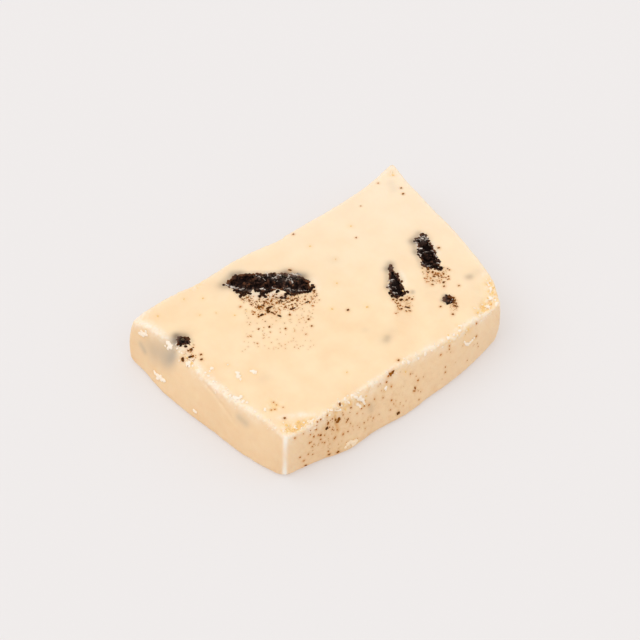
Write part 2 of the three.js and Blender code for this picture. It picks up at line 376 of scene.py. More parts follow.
# Broken chocolate biscuit cut through by the blade: each outline as it shows in the top.
BISCUITS = {
    "biscuit_long": (
        (-15.8, 20.8), (-12.2, 21.7), (-10.7, 21.3), (-6.9, 18.2), (-2.7, 14.7), (-0.5, 11.4),
        (-0.2, 9.3), (-1.9, 7.0), (-5.6, 8.0), (-7.4, 12.0), (-9.4, 12.3), (-11.6, 15.3),
        (-14.8, 15.3), (-14.8, 17.8),
    ),
    "biscuit_right": (
        (29.0, 4.9), (29.7, 4.7), (30.5, 3.8), (30.1, 3.1), (29.4, 2.1), (28.9, 1.3), (28.8, 0.0),
        (28.3, -0.7), (28.2, -1.7), (27.6, -2.5), (26.8, -3.2), (26.8, -4.9), (25.8, -5.6),
        (25.3, -6.9), (24.2, -6.9), (23.8, -5.7), (23.1, -5.1), (22.5, -4.2), (22.4, -3.3),
        (23.1, -2.4), (23.6, -1.7), (23.7, -1.0), (24.0, -0.1), (24.6, 1.0), (25.3, 1.3),
        (25.7, 1.6), (25.8, 2.3), (26.2, 2.7), (26.2, 4.0), (27.5, 4.4), (28.3, 4.4),
    ),
    "biscuit_middle": (
        (17.1, 1.9), (17.5, 1.5), (17.1, 0.6), (16.7, -0.3), (16.4, -1.1), (16.8, -1.6), (16.4, -2.2),
        (16.0, -2.9), (15.7, -3.8), (15.1, -5.0), (14.6, -6.0), (14.3, -6.6), (14.4, -7.4),
        (13.4, -7.8), (12.3, -7.6), (11.6, -7.7), (11.1, -7.3), (11.0, -6.7), (10.9, -5.7),
        (11.3, -5.1), (11.3, -4.6), (11.9, -4.1), (11.7, -3.4), (12.4, -3.2), (12.6, -2.8),
        (13.2, -2.5), (13.6, -2.1), (13.8, -1.6), (14.8, -0.7), (15.4, 0.3), (16.0, 1.2),
        (16.6, 1.7),
    ),
    "biscuit_left": (
        (-33.5, 14.7), (-32.4, 13.9), (-31.5, 12.9), (-32.1, 11.8), (-32.9, 11.0), (-34.0, 11.6),
        (-35.0, 12.6), (-34.4, 13.8),
    ),
    "biscuit_small": (
        (20.3, -13.6), (21.1, -14.4), (21.3, -15.6), (19.9, -16.7), (18.6, -16.3), (18.4, -14.8),
        (19.1, -13.8),
    ),
}
LEAN = {"biscuit_left": 0.25}
OUTLINE_STEP = 0.16
SCALLOP = 0.22
# A pocket is a little deeper than its fragment, and the cutter reaches out of the top.
POCKET_INSET = 0.1
POCKET_ROOM = 0.3
POCKET_REACH = 2


def broken_outline(name):
    """The outline in close steps, scalloped by the grains that broke out of it."""
    corners = np.array(BISCUITS[name], float)
    line = []
    for here, there in zip(corners, np.roll(corners, -1, axis=0)):
        steps = max(1, int(np.linalg.norm(there - here) / OUTLINE_STEP))
        line += [mix(here, there, k / steps) for k in range(steps)]
    line = np.array(line)
    ahead = np.roll(line, -2, axis=0) - np.roll(line, 2, axis=0)
    outward = np.stack([ahead[:, 1], -ahead[:, 0]], axis=1)
    outward /= np.linalg.norm(outward, axis=1)[:, None]
    middle = line.mean(axis=0)
    if np.sum(outward * (line - middle)) < 0:
        outward = -outward
    flat = np.column_stack([line, np.zeros(len(line))])
    push = SCALLOP * (waves(flat, 0.55, 3) + 0.8 * waves(flat, 1.3, 4))
    return line + outward * push[:, None], outward


def drawn_in(line, outward, inset):
    """The outline moved inward. Steps that would cross over at a sharp tip are left out."""
    moved = line - outward * inset
    gaps = np.linalg.norm(moved[:, None, :] - line[None, :, :], axis=2).min(axis=1)
    return moved[gaps > 0.9 * inset]


def upright_block(name, line, floor, top, lean):
    """A closed block that follows the outline between two heights, leaning to the left below."""
    steps = len(line)
    low = np.column_stack([line[:, 0] - lean * (HEIGHT - floor), line[:, 1], np.full(steps, floor)])
    high = np.column_stack([line[:, 0] - lean * (HEIGHT - top), line[:, 1], np.full(steps, top)])
    faces = [list(range(steps))[::-1], list(range(steps, 2 * steps))]
    faces += [(i, (i + 1) % steps, steps + (i + 1) % steps, steps + i) for i in range(steps)]
    mesh = to_mesh(name, np.concatenate([low, high]), faces)
    shaped = bmesh.new()
    shaped.from_mesh(mesh)
    bmesh.ops.recalc_face_normals(shaped, faces=shaped.faces)
    shaped.to_mesh(mesh)
    shaped.free()
    return mesh


def with_modifiers(made):
    """A plain mesh of an object with its modifiers applied. The object itself is removed."""
    shown = made.evaluated_get(bpy.context.evaluated_depsgraph_get())
    mesh = bpy.data.meshes.new_from_object(shown)
    mesh.materials.clear()
    bpy.data.objects.remove(made)
    return mesh


def cut_pockets(mesh):
    """Cuts a pocket for each biscuit into the fudge."""
    fudge = to_object("uncut", mesh)
    cutters = []
    for name in BISCUITS:
        line, outward = broken_outline(name)
        low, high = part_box(name)
        rim = drawn_in(line, outward, POCKET_INSET)
        floor, top = low.z / MM - POCKET_ROOM, HEIGHT + POCKET_REACH
        pocket = upright_block("pocket", rim, floor, top, LEAN.get(name, 0))
        cutter = to_object("pocket", pocket)
        cut = fudge.modifiers.new("pocket", "BOOLEAN")
        cut.operation = "DIFFERENCE"
        cut.solver = "MANIFOLD"
        cut.object = cutter
        cutters.append(cutter)
    found = with_modifiers(fudge)
    for cutter in cutters:
        bpy.data.objects.remove(cutter)
    return found


slab_mesh = cut_pockets(block)
slab_points = points_of(slab_mesh)
slab_normals = normals_of(slab_mesh)
_, slab_rim_gap = nearest(slab_points, rim_line)

# Dark biscuit shows through the fudge that thins out over it: a dark edge round the fragments
# that show, small shadows where a hidden one comes near the top, and a pale grey cloud where one
# lies deeper in the left side. Each is a start, an end, a radius and a strength.
THIN_OVER_BISCUIT = level_strokes(11.6, (
    (-15.8, 20.7, -12.2, 21.7, 1.4, 0.42), (-15.8, 20.7, -12.2, 21.7, 2.6, 0.07),
    (-13.4, 15.4, -11.6, 13.2, 0.9, 0.1), (-10.0, 12.4, -8.0, 9.8, 0.9, 0.1),
    (-2.7, 14.7, -0.2, 11.2, 2.2, 0.14), (-34.4, 14.4, -32.4, 14.2, 2.2, 0.12),
    (-12.2, 21.7, -10.7, 21.3, 1.1, 0.3), (-10.7, 21.3, -2.7, 14.7, 0.8, 0.28),
    (-2.7, 14.7, -0.5, 11.6, 1.2, 0.52), (-0.4, 11.2, -0.4, 9.5, 0.7, 0.2),
    (-15.5, 19.6, -15.0, 16.2, 0.6, 0.2), (29.0, 4.9, 26.3, 4.0, 1.1, 0.42),
    (26.3, 4.0, 24.4, 0.9, 1.0, 0.36), (24.4, 0.9, 22.4, -3.4, 0.8, 0.28),
    (30.3, 3.7, 28.1, -1.8, 0.6, 0.16), (17.3, 1.8, 15.8, 1.0, 1.1, 0.42),
    (15.8, 1.0, 11.9, -3.4, 0.8, 0.3), (11.9, -3.4, 10.8, -7.0, 0.7, 0.22),
    (17.2, 1.2, 15.7, -3.7, 0.7, 0.24), (-35.0, 12.9, -34.5, 14.0, 0.9, 0.38),
    (-34.5, 14.0, -33.5, 14.9, 1.1, 0.46), (-33.5, 14.9, -32.2, 13.9, 0.9, 0.42),
    (-31.8, 13.2, -31.9, 11.6, 0.6, 0.2), (18.6, -15.6, 18.7, -14.6, 0.6, 0.35),
    (18.7, -14.6, 19.9, -13.8, 0.7, 0.38), (19.9, -13.8, 21.0, -14.7, 0.5, 0.2),
)) + level_strokes(11.7, (
    (28.0, -12.8, 28.3, -12.9, 0.9, 0.26), (28.4, -12.8, 30.8, -12.8, 1.1, 0.09),
    (15.1, -8.2, 15.2, -8.1, 0.6, 0.38), (1.0, -15.5, 1.6, -15.1, 0.9, 0.24),
    (0.2, -15.2, 3.4, -14.4, 1.5, 0.06), (8.3, 10.9, 8.6, 11.2, 1.9, 0.06),
    (34.6, 20.2, 35.4, 22.0, 1.3, 0.09), (-0.7, -10.3, -0.6, -10.3, 0.9, 0.06),
    (-26.7, -7.2, -26.3, -7.2, 1.3, 0.06),
)) + [
    ((-12.0, -25.3, 6.6), (-11.8, -25.2, 7.4), 0.9, 0.18),
]
BURIED_BISCUIT = (
    ((-36.6, 12.2, 10.2), (-36.9, 12.4, 8.6), 1.2, 0.40),
    ((-36.8, 12.6, 9.6), (-37.4, 13.2, 7.6), 1.9, 0.38),
    ((-37.0, 13.4, 9.0), (-38.0, 17.0, 7.4), 2.7, 0.36),
    ((-37.6, 16.0, 9.6), (-38.2, 19.6, 8.0), 2.2, 0.20),
    ((-38.8, 21.7, 7.0), (-38.7, 20.3, 5.9), 0.7, 0.40),
    ((-36.2, -10.6, 8.9), (-36.0, -12.4, 8.6), 1.0, 0.34),
)

# Rims that the blade wore pale and left a soft burr on, and the upright corner between them, whose pale
# line is partly wear and partly a painted highlight along the edge.
LEFT_RIM_WEAR = 1.5
FRONT_RIM_WEAR = 1.5
BACK_RIM_WEAR = 0.5
CORNER_WEAR_AND_HIGHLIGHT = ((-33.6, -22.9, 11.3), (-34.7, -23.7, 0.4), 0.42, 1.0)
# Cream that the blade smeared pale beside the fragments.
SMEARED_CREAM = level_strokes(11.6, (
    (-12.8, 13.8, -8.6, 11.2, 1.3, 0.6), (-9.5, 11.5, -7.8, 9.2, 1.1, 0.5),
    (-0.5, 6.2, 0.5, 9.2, 0.9, 0.4), (29.4, 1.0, 28.0, -2.6, 0.6, 0.45),
    (17.7, -1.4, 15.6, -5.5, 0.6, 0.45), (-35.0, 11.4, -34.0, 9.6, 0.8, 0.5),
    (-31.0, -18.1, -27.1, -20.5, 0.8, 0.5), (-27.1, -20.5, -25.2, -21.8, 0.7, 0.5),
    (39.4, 26.2, 33.0, 25.2, 0.6, 0.45), (40.2, 26.0, 38.6, 22.6, 0.5, 0.4),
)) + [
    ((-32.8, -23.1, 11.2), (-26.9, -23.5, 11.2), 0.6, 0.9),
    ((-33.9, -22.6, 11.4), (-34.4, -17.0, 11.5), 0.7, 0.6),
    ((-28.0, -24.2, 10.6), (-22.0, -24.8, 11.0), 0.9, 0.5),
    ((-22.0, -24.9, 10.9), (-15.0, -25.2, 10.6), 0.9, 0.5),
    ((-15.0, -25.2, 10.6), (8.0, -25.2, 10.6), 0.7, 0.3),
    ((28.4, -20.0, 11.3), (31.4, -14.5, 11.5), 0.8, 0.5),
    ((-37.8, 24.4, 11.3), (-37.4, 16.0, 11.5), 1.2, 0.45),
]

# Brown dust that the blade dragged out of each biscuit: the edge that it came from, how far it
# reaches, and how thick it lies. The blade was pulled from the back right to the front left.
DRAG = np.array((-0.643, -0.766, 0.0))
COCOA_SMEARS = (
    ((-13.4, 13.0), (-8.4, 9.6), 5.0, 0.34), ((-8.8, 10.0), (-2.0, 6.0), 3.0, 0.26),
    ((-14.8, 15.0), (-12.0, 13.0), 1.4, 0.3), ((-13.6, 14.0), (-2.4, 6.0), 11.0, 0.12),
    ((-12.8, 9.8), (-11.0, 8.4), 2.4, 0.6), ((22.2, -4.4), (26.0, -7.2), 5.0, 0.5),
    ((10.6, -7.4), (13.8, -8.8), 4.6, 0.52), ((19.0, -16.2), (21.0, -16.0), 2.8, 0.8),
    ((-34.9, 10.8), (-32.6, 10.0), 3.0, 0.36),
)
COCOA_ON_FRONT = (
    ((-26.0, -24.6, 8.0), (-20.0, -25.2, 8.4), 2.6, 0.09),
    ((-29.0, -24.6, 5.0), (-15.0, -25.4, 5.4), 3.0, 0.05),
    ((-5.0, -24.3, 10.8), (-3.2, -24.3, 11.0), 0.6, 0.70),
)


def cocoa_mask(points):
    """How thick the brown dust lies: thickest at the biscuit, and thinner along the drag."""
    thick = np.zeros(len(points))
    for start, end, reach, strength in COCOA_SMEARS:
        start, end = np.array(start), np.array(end)
        edge = end - start
        axes = np.array([edge, DRAG[:2]]).T
        along, down = np.linalg.solve(axes, (points[:, :2] - start).T)
        ends = np.clip(1.3 - 2.0 * np.abs(along - 0.5), 0, 0.5) / 0.5
        fade = np.where(down > 0, np.exp(-((down / reach) ** 1.4)), np.exp(-((down / 0.5) ** 2)))
        thick = np.maximum(thick, strength * ends * fade)
    on_top = thick * (points[:, 2] > HEIGHT - 1.5)
    return np.maximum(on_top, stroked(points, COCOA_ON_FRONT))


def pale_mask(points, normals, gap):
    """Where the rims are worn pale: a band on the top along the two sides that the blade met."""
    left = np.clip((-32.0 - points[:, 0]) / 3, 0, 1) * np.clip((points[:, 1] + 23.4) / 2, 0, 1)
    front = np.clip((-20.5 - points[:, 1]) / 3, 0, 1)
    patches = np.clip(0.85 + 0.8 * waves(points, 2.2, 12), 0.3, 1)
    upward = np.clip((normals[:, 2] + 0.1) / 0.5, 0, 1)
    reach = np.maximum(np.maximum(LEFT_RIM_WEAR * left, FRONT_RIM_WEAR * front), BACK_RIM_WEAR)
    strength = np.maximum(np.maximum(0.85 * left, 0.95 * front * patches), 0.35)
    reach = reach * (1 + 0.4 * waves(points, 1.6, 11))
    rims = strength * upward * np.exp(-((gap / reach) ** 2)) * (0.9 + 0.5 * waves(points, 0.7, 14))
    return np.maximum(rims, stroked(points, SMEARED_CREAM))


BACK_LIGHT_START, BACK_LIGHT_REACH = -5, 40


def back_light_mask(points):
    """From 0 at the front left to 1 at the back right, where painted light makes the fudge a little
    paler.
    """
    return np.clip((-points @ DRAG - BACK_LIGHT_START) / BACK_LIGHT_REACH, 0, 1)


slab_torn = stroked(slab_points, TORN_STROKES)
slab_crags = torn_crags(slab_points)
slab_pale = pale_mask(slab_points, slab_normals, slab_rim_gap)
add_mask(slab_mesh, "thin", stroked(slab_points, THIN_OVER_BISCUIT))
add_mask(slab_mesh, "buried", stroked(slab_points, BURIED_BISCUIT))
add_mask(slab_mesh, "cocoa", cocoa_mask(slab_points))
# Torn places are paler, more so the higher their crags stand. Painted shade makes their hollows amber,
# more so the deeper they lie.
add_mask(slab_mesh, "pale", np.maximum(slab_pale, slab_torn * np.clip(0.35 + 0.9 * slab_crags, 0, 1)))
add_mask(slab_mesh, "pit_shade", slab_torn * np.clip(0.45 - 1.7 * slab_crags, 0, 1))
add_mask(slab_mesh, "corner", stroked(slab_points, [CORNER_WEAR_AND_HIGHLIGHT] * 2))
# Painted shade: the sides are painted darker and more orange than the top through the flank mask, less so
# towards the right end and beside the front left corner.
near_corner = np.exp(-(((slab_points[:, 0] + 35) / 8) ** 2)) * np.clip(-slab_normals[:, 1], 0, 1)
rightward = np.clip((slab_points[:, 0] + 35) / 65, 0, 1) ** 1.5
add_mask(slab_mesh, "right_end", np.maximum(rightward, 0.8 * near_corner))
add_mask(slab_mesh, "flank", 1 - np.clip(slab_normals[:, 2], 0, 1))
rubbed_share = np.clip((24 - slab_points[:, 0]) / 30, 0.12, 1)
rubbed_share *= np.clip((slab_points[:, 0] + 34) / 7, 0.1, 1)
add_mask(slab_mesh, "front", np.clip(-slab_normals[:, 1], 0, 1) * rubbed_share)
add_mask(slab_mesh, "back_light", back_light_mask(slab_points))
slab_mesh.shade_smooth()
slab_mesh.set_sharp_from_angle(angle=np.radians(60))


def add_node(tree, kind, inputs=None, **settings):
    """Adds a shader node. inputs are values or sockets by the name or number of an input."""
    made = tree.nodes.new("ShaderNode" + kind)
    for name, value in settings.items():
        setattr(made, name, value)
    for name, value in (inputs or {}).items():
        if isinstance(value, bpy.types.NodeSocket):
            tree.links.new(value, made.inputs[name])
        else:
            made.inputs[name].default_value = value
    return made


def mix_colour(tree, share, below, above):
    return add_node(tree, "Mix", {0: share, 6: below, 7: above}, data_type="RGBA").outputs[2]


def ranged(tree, value, low, high, to_low=0.0, to_high=1.0):
    """Maps a value from one range to another and keeps it inside."""
    inputs = {0: value, 1: low, 2: high, 3: to_low, 4: to_high}
    return add_node(tree, "MapRange", inputs).outputs[0]


def product(tree, first, second):
    return add_node(tree, "Math", {0: first, 1: second}, operation="MULTIPLY").outputs[0]


def mask_of(tree, name):
    return add_node(tree, "Attribute", attribute_name=name).outputs["Fac"]


def noise_of(tree, place, scale, detail=2.0, rough=0.5):
    inputs = {"Vector": place, "Scale": scale, "Detail": detail, "Roughness": rough}
    return add_node(tree, "TexNoise", inputs).outputs["Fac"]


def colour(red, green, blue):
    return (red, green, blue, 1.0)


def new_group(name, inputs, outputs):
    """A shader node group. Returns it with its input and output nodes."""
    group = bpy.data.node_groups.new(name, "ShaderNodeTree")
    for side, sockets in (("INPUT", inputs), ("OUTPUT", outputs)):
        for socket_name, kind in sockets:
            group.interface.new_socket(socket_name, in_out=side, socket_type="NodeSocket" + kind)
    return group, group.nodes.new("NodeGroupInput"), group.nodes.new("NodeGroupOutput")


def make_fudge_grain():
    """Sugar grain and slight mottling, for everything that is made of fudge."""
    group, given, result = new_group(
        "fudge_grain",
        [("Cream", "Color"), ("Deep Cream", "Color"), ("Mottle Size", "Float")],
        [("Color", "Color"), ("Roughness", "Float"), ("Height", "Float")],
    )
    place = add_node(group, "TexCoord").outputs["Object"]
    cloud = noise_of(group, place, given.outputs["Mottle Size"], 3.0)
    share = ranged(group, cloud, 0.35, 0.7)
    fine = noise_of(group, place, 2600.0, 3.0, 0.6)
    tint = mix_colour(group, share, given.outputs["Cream"], given.outputs["Deep Cream"])
    group.links.new(tint, result.inputs["Color"])
    group.links.new(ranged(group, fine, 0.3, 0.7, 0.46, 0.6), result.inputs["Roughness"])
    group.links.new(fine, result.inputs["Height"])
    return group


fudge_grain = make_fudge_grain()


def new_material(name):
    """An empty node material. Returns it with its tree and its Principled BSDF."""
    material = bpy.data.materials.new(name)
    material.use_nodes = True
    return material, material.node_tree, material.node_tree.nodes["Principled BSDF"]


def place_group(tree, group, inputs):
    """Puts a node group into a material. Its inputs are values or sockets, by their names."""
    return add_node(tree, "Group", inputs, node_tree=group)


def finish_surface(tree, principled, tint, roughness, specular, height, strength, depth):
    """Gives the shader its colour, gloss and fine relief. depth is in millimetres."""
    tree.links.new(tint, principled.inputs["Base Color"])
    if isinstance(roughness, bpy.types.NodeSocket):
        tree.links.new(roughness, principled.inputs["Roughness"])
    else:
        principled.inputs["Roughness"].default_value = roughness
    principled.inputs["Specular IOR Level"].default_value = specular
    bump = add_node(tree, "Bump", {"Strength": strength, "Distance": depth * MM, "Height": height})
    tree.links.new(bump.outputs[0], principled.inputs["Normal"])


SUBSURFACE_RADIUS = (1.0, 0.7, 0.45)
SUBSURFACE_DEPTH = 0.5 * MM
# The colour under each of these masks of the slab: worn pale with a painted highlight down the corner,
# amber painted shade in the hollows of torn places, amber butter with painted shade round the lumps and
# in the cracks, or dark over biscuit.
SHADES = {
    "corner": (0.97, 0.875, 0.77),
    "pit_shade": (0.93, 0.62, 0.24),
    "butter_and_shade": (0.89, 0.56, 0.23),
    "buried": (0.38, 0.325, 0.265),
    "thin": (0.06, 0.038, 0.033),
}


def slab_material():
    """Cream fudge with pale rims, torn places with painted amber shade in their hollows, buried shadows
    and dragged cocoa dust. Painted shade darkens the sides, the cracks and the fudge round the lumps, and
    painted light makes the back paler.
    """
    material, tree, principled = new_material("cut_fudge")
    place = add_node(tree, "TexCoord").outputs["Object"]
    # Painted light: the cream is painted a little paler towards the back right.
    back_light = mask_of(tree, "back_light")
    cream = mix_colour(tree, back_light, colour(0.955, 0.73, 0.47), colour(0.95, 0.765, 0.555))
    deep = mix_colour(tree, back_light, colour(0.925, 0.665, 0.405), colour(0.93, 0.73, 0.515))
    grain = place_group(tree, fudge_grain, {"Cream": cream, "Deep Cream": deep, "Mottle Size": 160.0})

    # Painted shade on the sides: darker and more orange than the top, less so towards the right end.
    blotch = ranged(tree, noise_of(tree, place, 420.0, 4.0, 0.65), 0.3, 0.7)
    left_end = mix_colour(tree, blotch, colour(0.82, 0.54, 0.295), colour(0.85, 0.595, 0.35))
    right_end = mix_colour(tree, blotch, colour(0.90, 0.63, 0.385), colour(0.92, 0.685, 0.44))
    flank = mix_colour(tree, mask_of(tree, "right_end"), left_end, right_end)
    tint = mix_colour(tree, mask_of(tree, "flank"), grain.outputs["Color"], flank)
    rub = ranged(tree, noise_of(tree, place, 700.0, 5.0, 0.75), 0.48, 0.68, 0.0, 0.5)
    rubbed = product(tree, mask_of(tree, "front"), rub)
    tint = mix_colour(tree, rubbed, tint, colour(0.74, 0.46, 0.225))

    speck = ranged(tree, noise_of(tree, place, 900.0, 5.0, 0.7), 0.38, 0.58, 0.35, 1.0)
    pale = product(tree, mask_of(tree, "pale"), speck)
    tint = mix_colour(tree, pale, tint, colour(0.97, 0.86, 0.735))
    for name, shade in SHADES.items():
        tint = mix_colour(tree, mask_of(tree, name), tint, colour(*shade))

    turned = add_node(
        tree,
        "Mapping",
        {"Vector": place, "Rotation": (0, 0, np.radians(40)), "Scale": (1.0, 2.6, 1.0)},
        vector_type="TEXTURE",
    ).outputs[0]
    cloud = ranged(tree, noise_of(tree, turned, 700.0, 5.0, 0.7), 0.35, 0.65, 0.1, 1.0)
    dusty = product(tree, mask_of(tree, "cocoa"), cloud)
    tint = mix_colour(tree, dusty, tint, colour(0.55, 0.29, 0.11))
    # Orange-brown stain round the crumbs, and painted shade in the cracks and the pit by the torn rim.
    tint = mix_colour(tree, mask_of(tree, "stain_and_crack_shade"), tint, colour(0.62, 0.24, 0.025))

    gloss, height = grain.outputs["Roughness"], grain.outputs["Height"]
    finish_surface(tree, principled, tint, gloss, 0.3, height, 0.35, 0.06)
    principled.inputs["Subsurface Weight"].default_value = 0.25
    principled.inputs["Subsurface Radius"].default_value = SUBSURFACE_RADIUS
    principled.inputs["Subsurface Scale"].default_value = SUBSURFACE_DEPTH
    return material


slab = to_object("fudge_slab", slab_mesh, slab_material())
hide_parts("fudge_body")
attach(slab, "root")

# ---------------------------------------------------------------------------------------------
# The chocolate biscuit. Broken sandwich biscuits were stirred into the fudge before it set, and
# the blade cut through them: dry, nearly black crumb in rounded grains, level with the cut top.
# Each fragment is one piece, pressed into its own pocket.
# ---------------------------------------------------------------------------------------------
CUT_LEVEL = HEIGHT - TOP_UNEVENNESS / 2
VOXEL = 0.12
CORE_INSET = 0.25
CORE_DROP = 0.85
RIM_GRAIN = 1.05
RIM_GRAIN_STEP = 0.8
RIM_GRAIN_INSET = 0.25
GRAINS_PER_SQUARE_MM = 2.2
SMALL_GRAIN, LARGE_GRAIN = 0.55, 1.15
draw = np.random.default_rng(3)


def ball(fineness):
    """The points and faces of a round pebble of diameter 1."""
    shaped = bmesh.new()
    bmesh.ops.create_icosphere(shaped, subdivisions=fineness, radius=0.5)
    points = np.array([tuple(v.co) for v in shaped.verts])
    faces = np.array([[v.index for v in face.verts] for face in shaped.faces])
    shaped.free()
    return points, faces


BALLS = {1: ball(1), 2: ball(2), 3: ball(3)}


def pebble(fineness, spot, size, turn, unevenness, sink, seed):
    """One uneven pebble on a surface: length, width and thickness, pressed in by a share."""
    points, faces = BALLS[fineness]
    place, normal = spot
    bumps = 1 + unevenness * (waves(points, 0.45, seed) + 0.5 * waves(points, 0.22, seed + 0.5))
    shaped = points * bumps[:, None] * np.array(size)
    tangent = np.cross((0.0, 1.0, 0.0) if abs(normal[1]) < 0.8 else (0.0, 0.0, -1.0), normal)
    tangent /= np.linalg.norm(tangent)
    frame_of_spot = np.array([tangent, np.cross(normal, tangent), normal])
    spin = np.array([[np.cos(turn), np.sin(turn), 0], [-np.sin(turn), np.cos(turn), 0], [0, 0, 1]])
    shaped = shaped @ spin @ frame_of_spot
    return shaped + place + normal * size[2] * (0.5 - sink), faces


def gathered(pebbles):
    """The points and faces of many pebbles together, and which pebble each point is from."""
    points, faces, sources, start = [], [], [], 0
    for number, (some_points, some_faces) in enumerate(pebbles):
        points.append(some_points)
        faces.append(some_faces + start)
        sources.append(np.full(len(some_points), number))
        start += len(some_points)
    return np.concatenate(points), np.concatenate(faces).tolist(), np.concatenate(sources)


def inside(line, places):
    """Which places lie inside a closed outline."""
    x, y = places[:, :1], places[:, 1:]
    ahead = np.roll(line, -1, axis=0)
    crosses = (line[:, 1] > y) != (ahead[:, 1] > y)
    rise = np.where(ahead[:, 1] == line[:, 1], 1e-9, ahead[:, 1] - line[:, 1])
    at = line[:, 0] + (y - line[:, 1]) / rise * (ahead[:, 0] - line[:, 0])
    return (crosses & (x < at)).sum(axis=1) % 2 == 1


def broken_grains(line, outward):
    """Grains of crumb that stand up out of a broken fragment: in a row along its edge, and
    scattered over the rest of it."""
    found = []
    upward = np.array((0.0, 0.0, 1.0))
    stride = max(1, round(RIM_GRAIN_STEP / OUTLINE_STEP))
    for start in range(0, len(line) - stride // 2, stride):
        size = RIM_GRAIN * draw.uniform(0.7, 1.15)
        place = line[start] - outward[start] * (RIM_GRAIN_INSET * size + draw.uniform(-0.15, 0.15))
        tall = 0.65 * size
        spot = (np.array((*place, CUT_LEVEL + draw.uniform(0.02, 0.16) - tall / 2)), upward)
        dims = (size, size * draw.uniform(0.75, 1.0), tall)
        found.append(pebble(2, spot, dims, draw.uniform(0, np.pi), 0.35, 0.5, draw.uniform(0, 90)))
    low, high = line.min(axis=0), line.max(axis=0)
    count = int(np.prod(high - low) * GRAINS_PER_SQUARE_MM)
    places = draw.uniform(low, high, (count, 2))
    for place in places[inside(line - 0.35 * outward, places)]:
        size = draw.uniform(SMALL_GRAIN, LARGE_GRAIN)
        top = CUT_LEVEL + 0.1 - 0.8 * draw.random() ** 1.2
        spot = (np.array((*place, top - size / 2)), upward)
        dims = (size, size * draw.uniform(0.6, 1.0), size)
        found.append(pebble(1, spot, dims, draw.uniform(0, np.pi), 0.4, 0.5, draw.uniform(0, 90)))
    return found


def biscuit_mesh(name):
    """A block with the broken outline and the grains that stand out of it, as one fine mesh."""
    line, outward = broken_outline(name)
    low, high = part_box(name)
    lean = LEAN.get(name, 0)
    core_line = drawn_in(line, outward, CORE_INSET)
    core = upright_block(name, core_line, low.z / MM, HEIGHT - CORE_DROP, lean)
    core_points = points_of(core)
    core_faces = [list(face.vertices) for face in core.polygons]
    points, faces, _ = gathered(broken_grains(line, outward))
    shift = len(core_points)
    faces = core_faces + [[index + shift for index in face] for face in faces]
    whole = to_object(name, to_mesh(name, np.concatenate([core_points, points]), faces))
    remesh = whole.modifiers.new("even_grid", "REMESH")
    remesh.mode = "VOXEL"
    remesh.voxel_size = VOXEL * MM
    mesh = with_modifiers(whole)
    points = points_of(mesh)
    normals = normals_of(mesh)
    upward = np.clip(normals[:, 2] + 0.3, 0, 1)
    lift = upward * (0.09 * waves(points, 0.42, 2) + 0.06 * waves(points, 0.2, 5))
    set_points(mesh, points + normals * lift[:, None])
    mesh.shade_smooth()
    return mesh, line


# Where fudge lies over the biscuit in a thin, see-through film.
FUDGE_FILMS = level_strokes(11.5, (
    (-12.9, 15.9, -11.8, 14.9, 0.95, 1.0), (-15.2, 19.9, -13.2, 17.3, 0.6, 0.9),
    (-8.2, 18.0, -7.8, 17.2, 0.6, 0.6), (-5.7, 15.6, -3.9, 14.6, 0.7, 0.7),
    (-3.8, 13.6, -2.2, 13.2, 0.9, 0.8), (-2.1, 13.4, -0.3, 11.9, 0.8, 0.9),
    (-10.3, 14.5, -9.1, 13.2, 0.6, 0.8), (-5.7, 11.0, -5.1, 9.9, 0.7, 0.5),
    (-4.0, 9.0, -3.6, 8.2, 0.6, 0.7), (-2.7, 12.7, -3.5, 11.2, 0.5, 0.7),
    (-6.1, 17.7, -6.4, 16.6, 0.5, 0.6), (26.8, 4.0, 28.2, 3.2, 0.9, 0.6),
    (28.7, 3.8, 29.4, 2.7, 0.7, 0.6), (26.0, 0.2, 27.6, -0.7, 0.45, 0.35),
    (23.2, -2.7, 23.7, -3.8, 0.6, 0.8), (25.5, 1.6, 26.0, 1.0, 0.6, 0.6),
    (13.2, -2.2, 14.4, -2.5, 0.7, 0.6), (17.1, 1.6, 16.6, 0.7, 0.8, 0.4),
    (16.6, 0.7, 15.4, -0.9, 0.7, 0.4), (12.1, -5.5, 12.2, -5.9, 0.7, 0.4),
    (12.5, -2.9, 12.3, -3.6, 0.6, 0.8), (-34.6, 14.4, -33.6, 15.0, 0.9, 1.0),
    (-33.6, 13.6, -33.5, 13.4, 0.5, 0.6), (-32.8, 12.4, -32.6, 12.2, 0.4, 0.6),
    (18.8, -14.8, 19.6, -13.9, 0.7, 0.7),
))


def make_biscuit_crumb():
    """The colour and fine pitting of dry chocolate biscuit, for fragments, crumbs and dust."""
    group, given, result = new_group(
        "biscuit_crumb",
        [("Dark", "Color"), ("Light", "Color")],
        [("Color", "Color"), ("Height", "Float")],
    )
    place = add_node(group, "TexCoord").outputs["Object"]
    coarse = noise_of(group, place, 1300.0, 4.0, 0.65)
    fine = noise_of(group, place, 5200.0, 2.0)
    share = ranged(group, coarse, 0.45, 0.7)
    tint = mix_colour(group, share, given.outputs["Dark"], given.outputs["Light"])
    group.links.new(tint, result.inputs["Color"])
    group.links.new(fine, result.inputs["Height"])
    return group


biscuit_crumb = make_biscuit_crumb()


